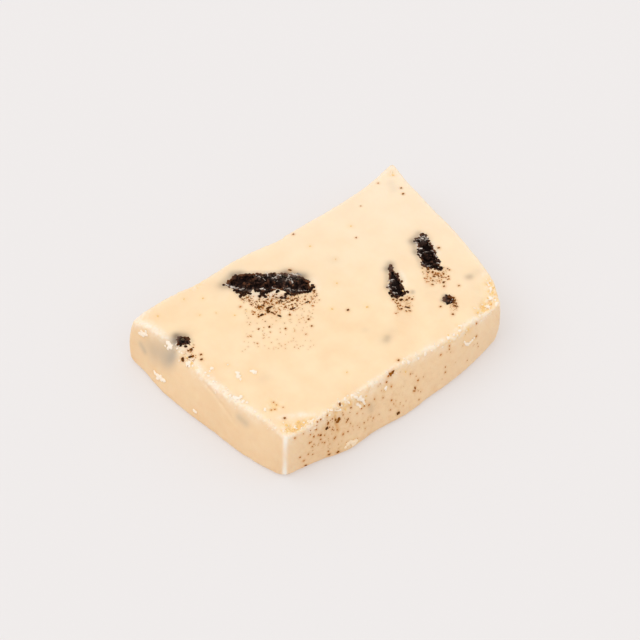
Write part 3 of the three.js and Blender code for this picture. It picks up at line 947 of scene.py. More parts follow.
def biscuit_material():
    """Nearly black crumb, browner where single grains stand at the broken edge, with painted shade in the
    gaps between its grains.
    """
    material, tree, principled = new_material("cut_biscuit")
    crumb = place_group(
        tree,
        biscuit_crumb,
        {"Dark": colour(0.006, 0.003, 0.0025), "Light": colour(0.10, 0.045, 0.03)},
    )
    place = add_node(tree, "TexCoord").outputs["Object"]
    spot = ranged(tree, noise_of(tree, place, 800.0, 2.0, 0.6), 0.40, 0.58)
    dry = ranged(tree, noise_of(tree, place, 1000.0, 3.0, 0.6), 0.52, 0.66)
    dry = product(tree, dry, mask_of(tree, "dry"))
    tint = mix_colour(tree, dry, crumb.outputs["Color"], colour(0.19, 0.075, 0.036))
    # Painted shade: the crumb is painted near black the deeper it lies below the cut.
    shaded = ranged(tree, mask_of(tree, "gap"), 0.0, 1.0, 0.0, 0.8)
    tint = mix_colour(tree, shaded, tint, colour(0.004, 0.002, 0.002))
    browned = product(tree, mask_of(tree, "edge"), spot)
    tint = mix_colour(tree, browned, tint, colour(0.13, 0.042, 0.013))
    patchy = ranged(tree, noise_of(tree, place, 1200.0, 3.0, 0.6), 0.4, 0.6, 0.35, 1.0)
    film = product(tree, mask_of(tree, "film"), patchy)
    tint = mix_colour(tree, film, tint, colour(0.15, 0.11, 0.092))
    finish_surface(tree, principled, tint, 0.95, 0.06, crumb.outputs["Height"], 0.5, 0.06)
    return material


GAP_DEPTH = 0.75
EDGE_REACH = 0.5
# How dry and brown the crumb of each fragment is. The others are nearly black.
DRYNESS = {"biscuit_long": 1.0, "biscuit_left": 0.7, "biscuit_small": 1.0, "biscuit_middle": 0.2}
cut_biscuit = biscuit_material()
fragments = []
for name in BISCUITS:
    mesh, line = biscuit_mesh(name)
    points = points_of(mesh)
    _, edge_gap = nearest(points, np.column_stack([line, np.full(len(line), HEIGHT)]))
    browned = 1 if name == "biscuit_small" else 0
    add_mask(mesh, "edge", np.maximum(np.exp(-((edge_gap / EDGE_REACH) ** 2)), browned))
    # Painted shade in the gaps between grains: how far below the cut each point lies.
    gap = (CUT_LEVEL - 0.05 - points[:, 2]) / GAP_DEPTH
    add_mask(mesh, "gap", gap * (1 - 0.6 * browned))
    add_mask(mesh, "dry", np.full(len(points), DRYNESS.get(name, 0.1)))
    add_mask(mesh, "film", stroked(points, FUDGE_FILMS))
    fragment = to_object("cut_" + name, mesh, cut_biscuit)
    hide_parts(name)
    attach(fragment, "root")
    fragments.append(mesh)

# ---------------------------------------------------------------------------------------------
# Cream. The blade drew thin slivers of fudge and of the biscuit's cream filling over the cut
# fragments: bright where they are thick, and grey where the dark crumb shows through them.
# ---------------------------------------------------------------------------------------------
def tree_of(meshes):
    """Everything that has been made so far, as one thing that a ray can hit."""
    points, faces, start = [], [], 0
    for mesh in meshes:
        some_points = points_of(mesh)
        points += some_points.tolist()
        faces += [[index + start for index in face.vertices] for face in mesh.polygons]
        start += len(some_points)
    return BVHTree.FromPolygons(points, faces)


surface = tree_of([slab_mesh] + fragments)
FAR = 200.0


def hit_from(origin, direction):
    place, normal, _, _ = surface.ray_cast(Vector(origin), Vector(direction))
    return np.array(place), np.array(normal)


def on_top(x, y):
    """The place on the cut top straight above or below x, y, and the direction out of it."""
    return hit_from((x, y, FAR), (0, 0, -1))


def on_front(x, z):
    return hit_from((x, -FAR, z), (0, 1, 0))


def on_left(y, z):
    return hit_from((-FAR, y, z), (1, 0, 0))


# Each sliver: its two ends, its width, and its tone from 0, thin and grey, to 1, thick and white.
CREAM_SLIVERS = (
    ((-15.3, 20.4), (-15.0, 19.8), 0.55, 1.0), ((-15.0, 19.8), (-14.7, 18.9), 0.75, 0.9),
    ((-14.8, 19.0), (-14.0, 18.1), 0.85, 0.75), ((-14.1, 18.2), (-13.1, 17.3), 0.75, 0.5),
    ((-8.3, 18.5), (-7.9, 17.5), 0.4, 0.6), ((-7.2, 17.4), (-7.3, 16.5), 0.35, 0.6),
    ((-6.0, 17.9), (-6.3, 16.8), 0.4, 0.95), ((-5.8, 15.5), (-4.9, 15.4), 0.45, 0.6),
    ((-4.6, 15.6), (-3.9, 14.9), 0.4, 0.7), ((-5.6, 15.1), (-5.3, 14.5), 0.35, 0.4),
    ((-4.1, 13.2), (-3.0, 13.6), 0.45, 0.7), ((-2.7, 13.7), (-2.5, 13.0), 0.4, 0.8),
    ((-1.7, 13.9), (-1.7, 13.2), 0.4, 0.9), ((-1.7, 13.2), (-1.2, 12.7), 0.45, 0.9),
    ((-3.4, 13.6), (-2.9, 12.8), 0.4, 0.55), ((-2.8, 12.7), (-3.5, 11.2), 0.35, 0.75),
    ((-1.2, 13.1), (-1.4, 12.5), 0.35, 0.8), ((-0.8, 12.9), (-0.4, 12.0), 0.5, 0.35),
    ((-10.5, 14.4), (-9.7, 14.3), 0.5, 0.95), ((-9.7, 14.3), (-9.4, 13.3), 0.5, 0.85),
    ((-7.8, 13.4), (-7.6, 12.5), 0.45, 0.45), ((-5.6, 11.1), (-5.2, 10.2), 0.5, 0.35),
    ((-3.9, 8.9), (-3.6, 8.3), 0.5, 0.7), ((-4.5, 10.2), (-4.2, 9.7), 0.45, 0.3),
    ((-3.0, 7.9), (-2.9, 7.4), 0.35, 0.5), ((-6.0, 11.6), (-5.8, 11.1), 0.4, 0.6),
    ((28.3, 4.1), (28.6, 3.4), 0.65, 1.0), ((29.2, 3.5), (29.4, 2.7), 0.5, 1.0),
    ((28.9, 3.1), (29.3, 2.5), 0.4, 0.6), ((29.0, 4.0), (29.3, 3.6), 0.35, 0.4),
    ((27.3, 3.9), (27.3, 3.3), 0.4, 0.5), ((27.9, 3.8), (27.9, 3.1), 0.4, 0.45),
    ((26.4, 3.3), (26.0, 2.2), 0.7, 0.8), ((25.6, 1.6), (26.0, 1.0), 0.65, 0.9),
    ((24.5, 0.0), (24.4, -0.7), 0.6, 0.9), ((26.0, 0.3), (26.7, 0.1), 0.28, 0.25),
    ((26.7, 0.1), (27.6, -0.7), 0.3, 0.3), ((27.5, -0.8), (27.6, -1.6), 0.28, 0.25),
    ((23.2, -2.7), (23.6, -3.8), 0.6, 0.75), ((23.7, -3.6), (24.4, -4.1), 0.4, 0.3),
    ((27.1, -2.5), (27.0, -3.4), 0.45, 0.35), ((25.9, -4.7), (26.0, -5.4), 0.45, 0.6),
    ((24.8, -5.9), (25.2, -6.1), 0.35, 0.35), ((14.2, -2.1), (14.8, -2.1), 0.55, 0.75),
    ((13.2, -2.2), (13.6, -2.2), 0.6, 0.8), ((13.6, -2.2), (14.2, -2.5), 0.5, 0.45),
    ((12.4, -3.0), (12.3, -3.5), 0.55, 0.95), ((11.9, -5.4), (12.4, -5.7), 0.75, 1.0),
    ((11.8, -6.0), (12.1, -6.2), 0.4, 0.4), ((11.9, -3.9), (12.0, -4.3), 0.45, 0.8),
    ((13.1, -3.8), (13.2, -3.9), 0.3, 0.35), ((13.6, -3.9), (13.5, -4.4), 0.35, 0.35),
    ((13.8, -6.5), (14.1, -6.7), 0.45, 0.4), ((19.9, -15.7), (20.9, -15.4), 0.4, 0.6),
)
SLIVER_STEP = 0.45
SLIVER_THICKNESS = 0.3
draw = np.random.default_rng(11)


def sliver(start, end, width):
    """A row of flat smears that run together, on whatever lies under it."""
    start, end = np.array(start), np.array(end)
    heading = np.arctan2(*(end - start)[::-1])
    steps = max(2, int(np.linalg.norm(end - start) / (SLIVER_STEP * width)) + 1)
    found = []
    for number in range(steps):
        share = number / (steps - 1)
        place = mix(start, end, share) + draw.normal(0, 0.14 * width, 2)
        size = width * draw.uniform(0.6, 1.1) * (0.7 + 0.3 * np.sin(np.pi * share))
        spot = (on_top(*place)[0], np.array((0.0, 0.0, 1.0)))
        dims = (1.5 * size, 0.75 * size, min(SLIVER_THICKNESS, 0.6 * size))
        turn = heading + draw.normal(0, 0.5)
        found.append(pebble(2, spot, dims, turn, 0.45, 0.3, draw.uniform(0, 90)))
    return found


def joined(name, pebbles, tones, voxel=None):
    """One mesh of many pebbles, each with a tone from 0 to 1. With a voxel size, pebbles that
    touch grow together under one skin."""
    points, faces, sources = gathered(pebbles)
    mesh = to_mesh(name, points, faces)
    tones = np.array(tones)[sources]
    if voxel:
        separate = to_object(name, mesh)
        remesh = separate.modifiers.new("one_skin", "REMESH")
        remesh.mode = "VOXEL"
        remesh.voxel_size = voxel * MM
        mesh = with_modifiers(separate)
        which, _ = nearest(points_of(mesh), points)
        tones = tones[which]
    add_mask(mesh, "tone", tones)
    mesh.shade_smooth()
    return mesh


def cream_material():
    material, tree, principled = new_material("drawn_cream")
    grain = place_group(
        tree,
        fudge_grain,
        {"Cream": colour(0.86, 0.77, 0.68), "Deep Cream": colour(0.72, 0.62, 0.52), "Mottle Size": 900.0},
    )
    tint = mix_colour(tree, mask_of(tree, "tone"), colour(0.20, 0.155, 0.13), grain.outputs["Color"])
    gloss, height = grain.outputs["Roughness"], grain.outputs["Height"]
    finish_surface(tree, principled, tint, gloss, 0.3, height, 0.3, 0.04)
    return material


sliver_pebbles, sliver_tones = [], []
for start, end, width, tone in CREAM_SLIVERS:
    more = sliver(start, end, width)
    sliver_pebbles += more
    sliver_tones += list(tone * draw.uniform(0.45, 1.1, len(more)))
sliver_mesh = joined("cream_slivers", sliver_pebbles, sliver_tones)
slivers = to_object("cream_slivers", sliver_mesh, cream_material())
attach(slivers, "root")

# ---------------------------------------------------------------------------------------------
# Loose biscuit. The blade tore crumbs out of the fragments and dragged them over the cut top,
# and cocoa-brown crumbs and specks stick to the front side. They are dry crumb, pressed a little
# into the fudge.
# ---------------------------------------------------------------------------------------------
# Crumbs that hang together in dark rows along the torn edges of the fragments.
EDGE_CRUMBS = (
    (-15.1, 17.9), (-14.9, 17.3), (-14.2, 17.4), (-14.5, 17.2), (-14.6, 16.5), (-14.6, 15.7),
    (-14.4, 15.2), (-15.2, 15.5), (-14.0, 16.0), (-14.0, 15.4), (-15.0, 16.9), (-13.4, 15.6),
    (-13.2, 15.1), (-13.0, 14.7), (-10.8, 14.1), (-10.7, 13.5), (-10.5, 13.0), (-10.0, 12.7),
    (-9.4, 12.6), (-9.0, 12.8), (-11.1, 13.4), (-11.2, 14.3), (-11.5, 14.6), (-11.4, 15.1),
    (-11.9, 12.7), (-11.4, 12.9), (-11.1, 12.6), (-11.0, 11.8), (-10.9, 12.8), (-7.9, 8.7),
    (-7.4, 9.1), (-6.9, 9.5), (-6.5, 9.6), (-6.4, 9.1), (-6.2, 8.6), (-5.8, 8.3), (-5.4, 8.2),
    (-8.5, 9.2), (-4.9, 8.1), (-4.5, 7.8), (-4.0, 7.5), (-3.3, 7.2), (-2.8, 6.9), (-2.4, 6.7),
    (-2.0, 6.9), (-0.7, 7.8), (-0.9, 7.2), (-1.4, 7.2), (-8.6, 12.5), (-7.7, 11.5), (-8.1, 11.3),
    (25.4, -6.7), (24.8, -6.9), (12.6, -7.6), (13.4, -7.4), (14.3, -7.5), (11.2, -6.9), (10.8, -6.2),
    (11.0, -5.2), (-33.9, 11.1), (-34.6, 12.0),
)
EDGE_CRUMB_SIZE = 0.85

# Crumbs that can be told apart: x, y, length, width and turn in degrees on the cut top.
TOP_CRUMBS = (
    (-0.8, 7.4, 1.1, 0.5, -60), (-1.5, 6.2, 0.7, 0.55, 0), (-4.9, 4.5, 1.0, 0.45, -15),
    (-8.7, 5.0, 1.35, 0.5, -12), (-12.5, 8.6, 1.6, 0.6, -12), (-13.2, 8.3, 0.8, 0.6, 20),
    (-15.2, 7.9, 1.1, 0.55, -12), (-16.0, 8.0, 0.6, 0.5, 0), (-14.3, 10.4, 0.55, 0.45, 0),
    (-13.7, 10.1, 0.6, 0.5, -60), (-13.1, 10.0, 0.9, 0.4, -70), (-12.6, 10.3, 0.6, 0.35, 30),
    (-12.2, 10.8, 0.7, 0.4, -60), (-10.8, 10.0, 0.6, 0.45, 20), (-11.1, 12.8, 0.9, 0.5, -20),
    (-11.9, 12.6, 0.6, 0.5, 60), (-8.4, 9.2, 0.65, 0.5, 20), (-9.1, 8.5, 1.0, 0.4, -60),
    (-8.2, 8.0, 0.5, 0.4, 0), (-12.4, 5.2, 1.0, 0.45, -70), (-13.5, 7.7, 0.8, 0.6, 0),
    (-13.0, 7.0, 0.8, 0.4, -60), (-12.8, 6.3, 0.6, 0.35, -60), (-8.1, 6.1, 0.5, 0.4, 0),
    (-10.4, 4.0, 0.6, 0.45, 60), (-8.1, 0.2, 0.5, 0.42, 0), (-8.9, -1.8, 0.5, 0.42, 40),
    (-16.2, 4.0, 0.55, 0.45, 0), (-18.4, 5.0, 0.45, 0.4, 0), (-13.8, 1.3, 0.5, 0.4, 0),
    (-6.3, 6.4, 0.6, 0.4, 40), (-4.8, 5.5, 0.5, 0.4, 60), (-1.4, 14.9, 0.9, 0.4, -60),
    (-9.6, 10.8, 0.5, 0.35, 0), (-10.2, 8.9, 0.5, 0.3, -40), (-7.4, 8.1, 0.5, 0.35, -50),
    (-33.5, 9.6, 0.8, 0.6, 30), (-34.2, 9.8, 0.5, 0.4, 0), (-34.8, 8.2, 1.4, 0.5, -32),
    (-34.4, 7.9, 0.6, 0.5, 30), (-36.2, 9.2, 1.0, 0.8, 30), (-36.4, 7.0, 0.45, 0.4, 0),
    (-32.8, 7.1, 0.5, 0.45, 0), (-33.6, 5.9, 0.6, 0.45, -40), (-30.5, -18.8, 0.55, 0.5, 0),
    (-29.4, -13.7, 0.36, 0.3, 0), (-29.3, -14.6, 0.3, 0.26, 0), (-31.1, -15.1, 0.34, 0.3, 0),
    (-30.4, -15.4, 0.34, 0.3, 40), (-28.8, -16.2, 0.28, 0.24, 0), (11.6, -8.4, 0.9, 0.65, -20),
    (12.5, -9.2, 0.6, 0.5, 0), (13.3, -9.1, 0.6, 0.35, 20), (13.6, -9.8, 0.45, 0.4, 0),
    (10.4, -8.8, 0.45, 0.35, 0), (10.2, -9.6, 0.5, 0.4, 0), (9.8, -10.5, 0.6, 0.4, -20),
    (11.1, -11.1, 1.5, 0.36, -59), (10.8, -12.2, 0.7, 0.25, -59), (10.3, -7.2, 0.6, 0.4, 0),
    (10.7, -7.9, 0.5, 0.4, 0), (29.3, -1.4, 0.65, 0.45, -20), (22.7, -5.1, 0.7, 0.4, -30),
    (22.9, -6.4, 0.7, 0.45, 40), (22.2, -7.6, 0.75, 0.4, -60), (23.0, -7.3, 0.55, 0.35, -40),
    (23.1, -8.1, 0.7, 0.35, 70), (24.4, -8.4, 0.6, 0.35, 30), (23.4, -8.9, 0.5, 0.35, 0),
    (21.1, -8.4, 0.55, 0.4, 40), (22.6, -10.4, 0.6, 0.5, 0), (21.8, -11.4, 0.5, 0.35, 0),
    (24.7, -9.7, 0.4, 0.35, 0), (24.0, -10.3, 0.5, 0.25, 0), (26.3, -8.3, 0.4, 0.35, 0),
    (20.2, -9.3, 0.55, 0.35, -60), (16.9, -15.6, 0.45, 0.4, 0), (20.9, -15.5, 0.6, 0.5, 0),
    (20.6, -16.3, 0.6, 0.5, 30), (20.2, -17.0, 0.5, 0.4, -60), (19.5, -17.6, 0.9, 0.4, -60),
    (17.4, -19.1, 0.6, 0.4, -60), (24.5, -13.4, 0.4, 0.35, 0), (17.0, 13.3, 0.4, 0.35, 0),
    (35.2, 17.5, 0.55, 0.45, 0), (36.2, 19.3, 0.45, 0.35, 20), (33.2, 24.1, 0.35, 0.3, 0),
    (0.4, -3.2, 0.6, 0.5, 0), (6.7, 23.5, 0.5, 0.4, 0), (-1.0, -21.7, 0.6, 0.4, 20),
    (24.8, 20.7, 0.35, 0.3, 0),
)
# Crumbs in the front side: x, height, length, width and turn.
FRONT_CRUMBS = (
    (-18.9, 11.4, 0.9, 0.5, 60), (-20.4, 8.9, 1.1, 0.8, 40), (-20.8, 8.6, 0.8, 0.6, 30),
    (-21.1, 9.1, 0.6, 0.45, 0), (-23.2, 9.5, 0.7, 0.45, 55), (-23.8, 8.5, 1.0, 0.6, 35),
    (-29.8, 1.2, 0.55, 0.45, 0), (-25.6, 7.8, 0.6, 0.42, 0), (-27.2, 8.4, 0.45, 0.4, 0),
    (-28.4, 7.3, 0.5, 0.42, 0), (-26.4, 9.8, 0.42, 0.35, 0), (-22.5, 5.2, 0.42, 0.35, 0),
    (-20.3, 5.2, 0.5, 0.32, 60), (-31.1, 4.6, 0.4, 0.32, 0), (-30.2, 2.9, 0.4, 0.32, 0),
    (-29.1, 4.3, 0.36, 0.32, 0), (-24.2, 1.5, 0.7, 0.4, 10), (-22.2, 1.3, 0.8, 0.45, 170),
    (-16.7, 9.6, 0.45, 0.38, 0), (-10.5, 8.4, 0.36, 0.3, 0), (-11.9, 4.4, 0.42, 0.32, 0),
    (-6.4, 5.9, 0.46, 0.42, 0), (-5.5, 2.1, 0.9, 0.7, 160), (-6.3, 10.1, 0.5, 0.4, 0),
    (-5.5, 8.6, 0.42, 0.34, 0), (-31.6, 10.3, 0.5, 0.32, 20), (-29.5, 10.3, 0.3, 0.26, 0),
    (-22.9, 11.3, 0.42, 0.34, 0), (-25.6, 11.2, 0.42, 0.34, 0), (-24.7, 11.3, 0.42, 0.3, 0),
    (-22.5, 7.5, 0.42, 0.32, 0), (-22.2, 7.2, 0.3, 0.26, 0), (-25.7, 6.7, 0.4, 0.32, 30),
    (-24.9, 5.3, 0.4, 0.3, 0), (-25.4, 5.6, 0.3, 0.26, 0), (-18.3, 7.8, 0.7, 0.3, 40),
    (-18.8, 7.4, 0.5, 0.3, 40), (-7.2, 3.9, 0.3, 0.26, 0), (-13.4, 8.3, 0.5, 0.34, 60),
    (-24.3, 2.5, 0.4, 0.34, 0), (-21.9, 9.9, 0.4, 0.32, 0), (-4.7, 11.0, 0.9, 0.8, 30),
    (-4.0, 11.1, 1.0, 0.5, 20), (-5.4, 10.9, 0.5, 0.45, 0), (0.3, 5.3, 0.7, 0.4, 80),
    (0.0, 4.7, 0.5, 0.3, 80), (1.5, 6.5, 0.5, 0.42, 0), (8.6, 9.3, 0.42, 0.32, 20),
    (20.1, 10.7, 0.5, 0.42, 0), (19.5, 7.7, 0.5, 0.42, 0), (9.0, 4.5, 0.4, 0.4, 0),
    (0.1, 8.7, 0.36, 0.3, 0), (11.2, 10.3, 0.42, 0.3, 80), (11.0, 9.6, 0.36, 0.28, 80),
)
# The few of them that are nearly black. The rest are brown.
BLACK_FRONT_CRUMBS = ((-23.8, 8.5), (-18.9, 11.4), (-5.5, 2.1), (-29.8, 1.2))
# Crumbs on the top that are shorter than this are orange-brown, and those in the front side that
# are fine lie deeper and show paler.
FINE_CRUMB = 0.37
FINE_FRONT_CRUMB = 0.52
FINE_SINK = 0.62
CRUMB_THICKNESS = 0.6
TOP_SINK = 0.3
FRONT_SINK = 0.45


def edge_crumbs():
    found = []
    for number, (x, y) in enumerate(EDGE_CRUMBS):
        size = EDGE_CRUMB_SIZE * (0.85 + 0.3 * (number * 7 % 10) / 10)
        spot = (on_top(x, y)[0], np.array((0.0, 0.0, 1.0)))
        dims = (size, 0.8 * size, 0.5 * size)
        found.append(pebble(2, spot, dims, number, 0.45, 0.35, 200 + number))
    return found


def placed_crumbs(rows, find_spot, fine, usual_sink, seed):
    """Crumbs pressed into a face. Those shorter than fine lie deeper."""
    found = []
    for number, (first, second, length, width, turn) in enumerate(rows, start=seed):
        size = (length, width, CRUMB_THICKNESS * width)
        sink = FINE_SINK if length < fine else usual_sink
        found.append(pebble(2, find_spot(first, second), size, np.radians(turn), 0.5, sink, number))
    return found


def crumb_material():
    """Crumb from nearly black to orange-brown, by each crumb's own tone."""
    material, tree, principled = new_material("loose_crumb")
    crumb = place_group(
        tree,
        biscuit_crumb,
        {"Dark": colour(0.012, 0.005, 0.003), "Light": colour(0.10, 0.034, 0.012)},
    )
    tint = mix_colour(tree, mask_of(tree, "tone"), crumb.outputs["Color"], colour(0.52, 0.165, 0.010))
    finish_surface(tree, principled, tint, 0.95, 0.08, crumb.outputs["Height"], 0.4, 0.04)
    return material


loose_crumb = crumb_material()
# Tones from 0, nearly black, to 1, orange-brown.
FINE_TONE = 0.95
FINE_FRONT_TONE = 0.8
FRONT_TONE = 0.4
draw = np.random.default_rng(5)
crumb_pebbles = edge_crumbs()
crumb_pebbles += placed_crumbs(TOP_CRUMBS, on_top, FINE_CRUMB, TOP_SINK, 0)
crumb_pebbles += placed_crumbs(FRONT_CRUMBS, on_front, FINE_FRONT_CRUMB, FRONT_SINK, 100)
crumb_sizes = np.array([np.ptp(points, axis=0).max() for points, _ in crumb_pebbles])
crumb_tones = np.clip(0.85 - 0.9 * crumb_sizes + 0.2 * draw.random(len(crumb_pebbles)), 0.1, 0.75)
first_on_top = len(EDGE_CRUMBS)
first_in_front = first_on_top + len(TOP_CRUMBS)
crumb_tones[:first_on_top] = 0
for number, (_, _, length, _, _) in enumerate(TOP_CRUMBS, start=first_on_top):
    if length < FINE_CRUMB:
        crumb_tones[number] = FINE_TONE
for number, (x, z, length, _, _) in enumerate(FRONT_CRUMBS, start=first_in_front):
    if (x, z) not in BLACK_FRONT_CRUMBS:
        lowest = FINE_FRONT_TONE if length < FINE_FRONT_CRUMB else FRONT_TONE
        crumb_tones[number] = max(crumb_tones[number], lowest + 0.2 * draw.random())
crumb_mesh = joined("biscuit_crumbs", crumb_pebbles, crumb_tones)
crumbs = to_object("biscuit_crumbs", crumb_mesh, loose_crumb)
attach(crumbs, "root")

# Specks too fine to place one by one: the edge that they were dragged from, how far they reach,
# how many there are, and how large the largest is.
SPECK_TRAILS = (
    ((-13.6, 13.6), (-8.8, 10.2), 5.2, 230, 0.48), ((-9.0, 9.8), (-5.4, 7.4), 4.4, 170, 0.46),
    ((-6.2, 7.4), (-1.4, 5.4), 3.4, 110, 0.42), ((-15.4, 15.0), (-13.0, 13.4), 2.4, 60, 0.42),
    ((-14.2, 15.2), (-5.0, 8.6), 1.6, 35, 0.42), ((-14.8, 14.4), (-1.6, 5.8), 17.0, 250, 0.25),
    ((21.8, -4.2), (26.2, -7.2), 4.6, 120, 0.42), ((10.4, -7.6), (14.4, -8.8), 4.4, 90, 0.4),
    ((18.8, -16.6), (20.8, -16.6), 2.6, 30, 0.36), ((-35.0, 11.0), (-31.8, 10.2), 4.6, 50, 0.36),
)
FRONT_SPECKS = 110
FRONT_SPECKS_START, FRONT_SPECKS_REACH = -28, 48
SMALLEST_SPECK = 0.13
CLUMP = 1.7
BARE = 0.12
# Nothing was dragged as far as the front rim or over the left rim.
FRONTMOST, LEFTMOST = -22, -36
draw = np.random.default_rng(21)


def trail_specks(start, end, reach, count, largest):
    """Specks behind one biscuit, in clumps: large and dark near it, fewer and orange farther."""
    start, end = np.array(start), np.array(end)
    found, tones = [], []
    for number in range(count):
        share = draw.random() ** 1.3
        x, y = mix(start, end, draw.random()) + DRAG[:2] * reach * share + draw.normal(0, 0.3, 2)
        clump = noise.noise((x / CLUMP, y / CLUMP, 4.0)) + 0.6 * draw.random()
        size = SMALLEST_SPECK + (largest - SMALLEST_SPECK) * draw.random() ** 3
        length = size * (1 + 0.8 * draw.random())
        turn = np.radians(-60) + draw.normal(0, 0.8)
        tone = np.clip(0.65 + 0.55 * share - 0.9 * size + draw.normal(0, 0.2), 0, 1)
        if clump < BARE or y < FRONTMOST or x < LEFTMOST:
            continue
        dims = (length, size, 0.4 * size)
        found.append(pebble(1, on_top(x, y), dims, turn, 0.4, 0.4, number % 97))
        tones.append(tone)
    return found, tones


def front_specks():
    """Specks in the front side, thickest towards its left end."""
    found, tones = [], []
    for number in range(FRONT_SPECKS):
        x = FRONT_SPECKS_START + FRONT_SPECKS_REACH * draw.random() ** 2
        z = 1 + 9.8 * draw.random() ** 0.8
        size = SMALLEST_SPECK + 0.2 * draw.random() ** 3
        dims = (1.4 * size, size, 0.5 * size)
        found.append(pebble(1, on_front(x, z), dims, draw.uniform(0, np.pi), 0.4, 0.4, number))
        tones.append(draw.uniform(0.75, 1.0))
    return found, tones


speck_pebbles, speck_tones = front_specks()
for trail in SPECK_TRAILS:
    more_pebbles, more_tones = trail_specks(*trail)
    speck_pebbles += more_pebbles
    speck_tones += more_tones
speck_mesh = joined("cocoa_specks", speck_pebbles, speck_tones)
specks = to_object("cocoa_specks", speck_mesh, loose_crumb)
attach(specks, "root")

# Fat and cocoa soak out of every crumb and stain the fudge round it orange-brown.
STAIN_REACH = 0.25
STAIN_STRENGTH = 0.55


def stain_mask(points, pebbles):
    middles = np.array([shaped.mean(axis=0) for shaped, _ in pebbles])
    sizes = np.array([np.ptp(shaped, axis=0).max() for shaped, _ in pebbles])
    which, gap = nearest(points, middles)
    reach = STAIN_REACH + 0.45 * sizes[which]
    strength = STAIN_STRENGTH * np.clip(sizes[which] / 0.45, 0.25, 1)
    return strength * np.exp(-((gap / reach) ** 2))


# Painted shade darkens the cracks by the torn rim and the pit in the front side with the same
# orange-brown: a start, an end, a radius and a strength.
SHADED_CRACKS = (
    ((-21.7, -23.1, 11.6), (-20.6, -23.8, 10.8), 0.4, 0.35),
    ((-21.1, -24.1, 10.0), (-21.3, -24.7, 8.4), 0.3, 0.55),
    ((-21.3, -24.7, 8.4), (-21.1, -25.4, 6.6), 0.3, 0.55),
    ((-16.2, -23.5, 11.4), (-16.5, -24.0, 10.3), 0.45, 0.35),
    ((-18.3, -23.9, 10.4), (-17.0, -24.0, 10.3), 0.35, 0.2),
    ((-15.1, -24.3, 9.8), (-14.2, -24.4, 9.7), 0.5, 0.18),
)
staining = crumb_pebbles[first_on_top:] + speck_pebbles
stain_and_crack_shade = np.maximum(stain_mask(slab_points, staining), stroked(slab_points, SHADED_CRACKS))
add_mask(slab_mesh, "stain_and_crack_shade", stain_and_crack_shade)

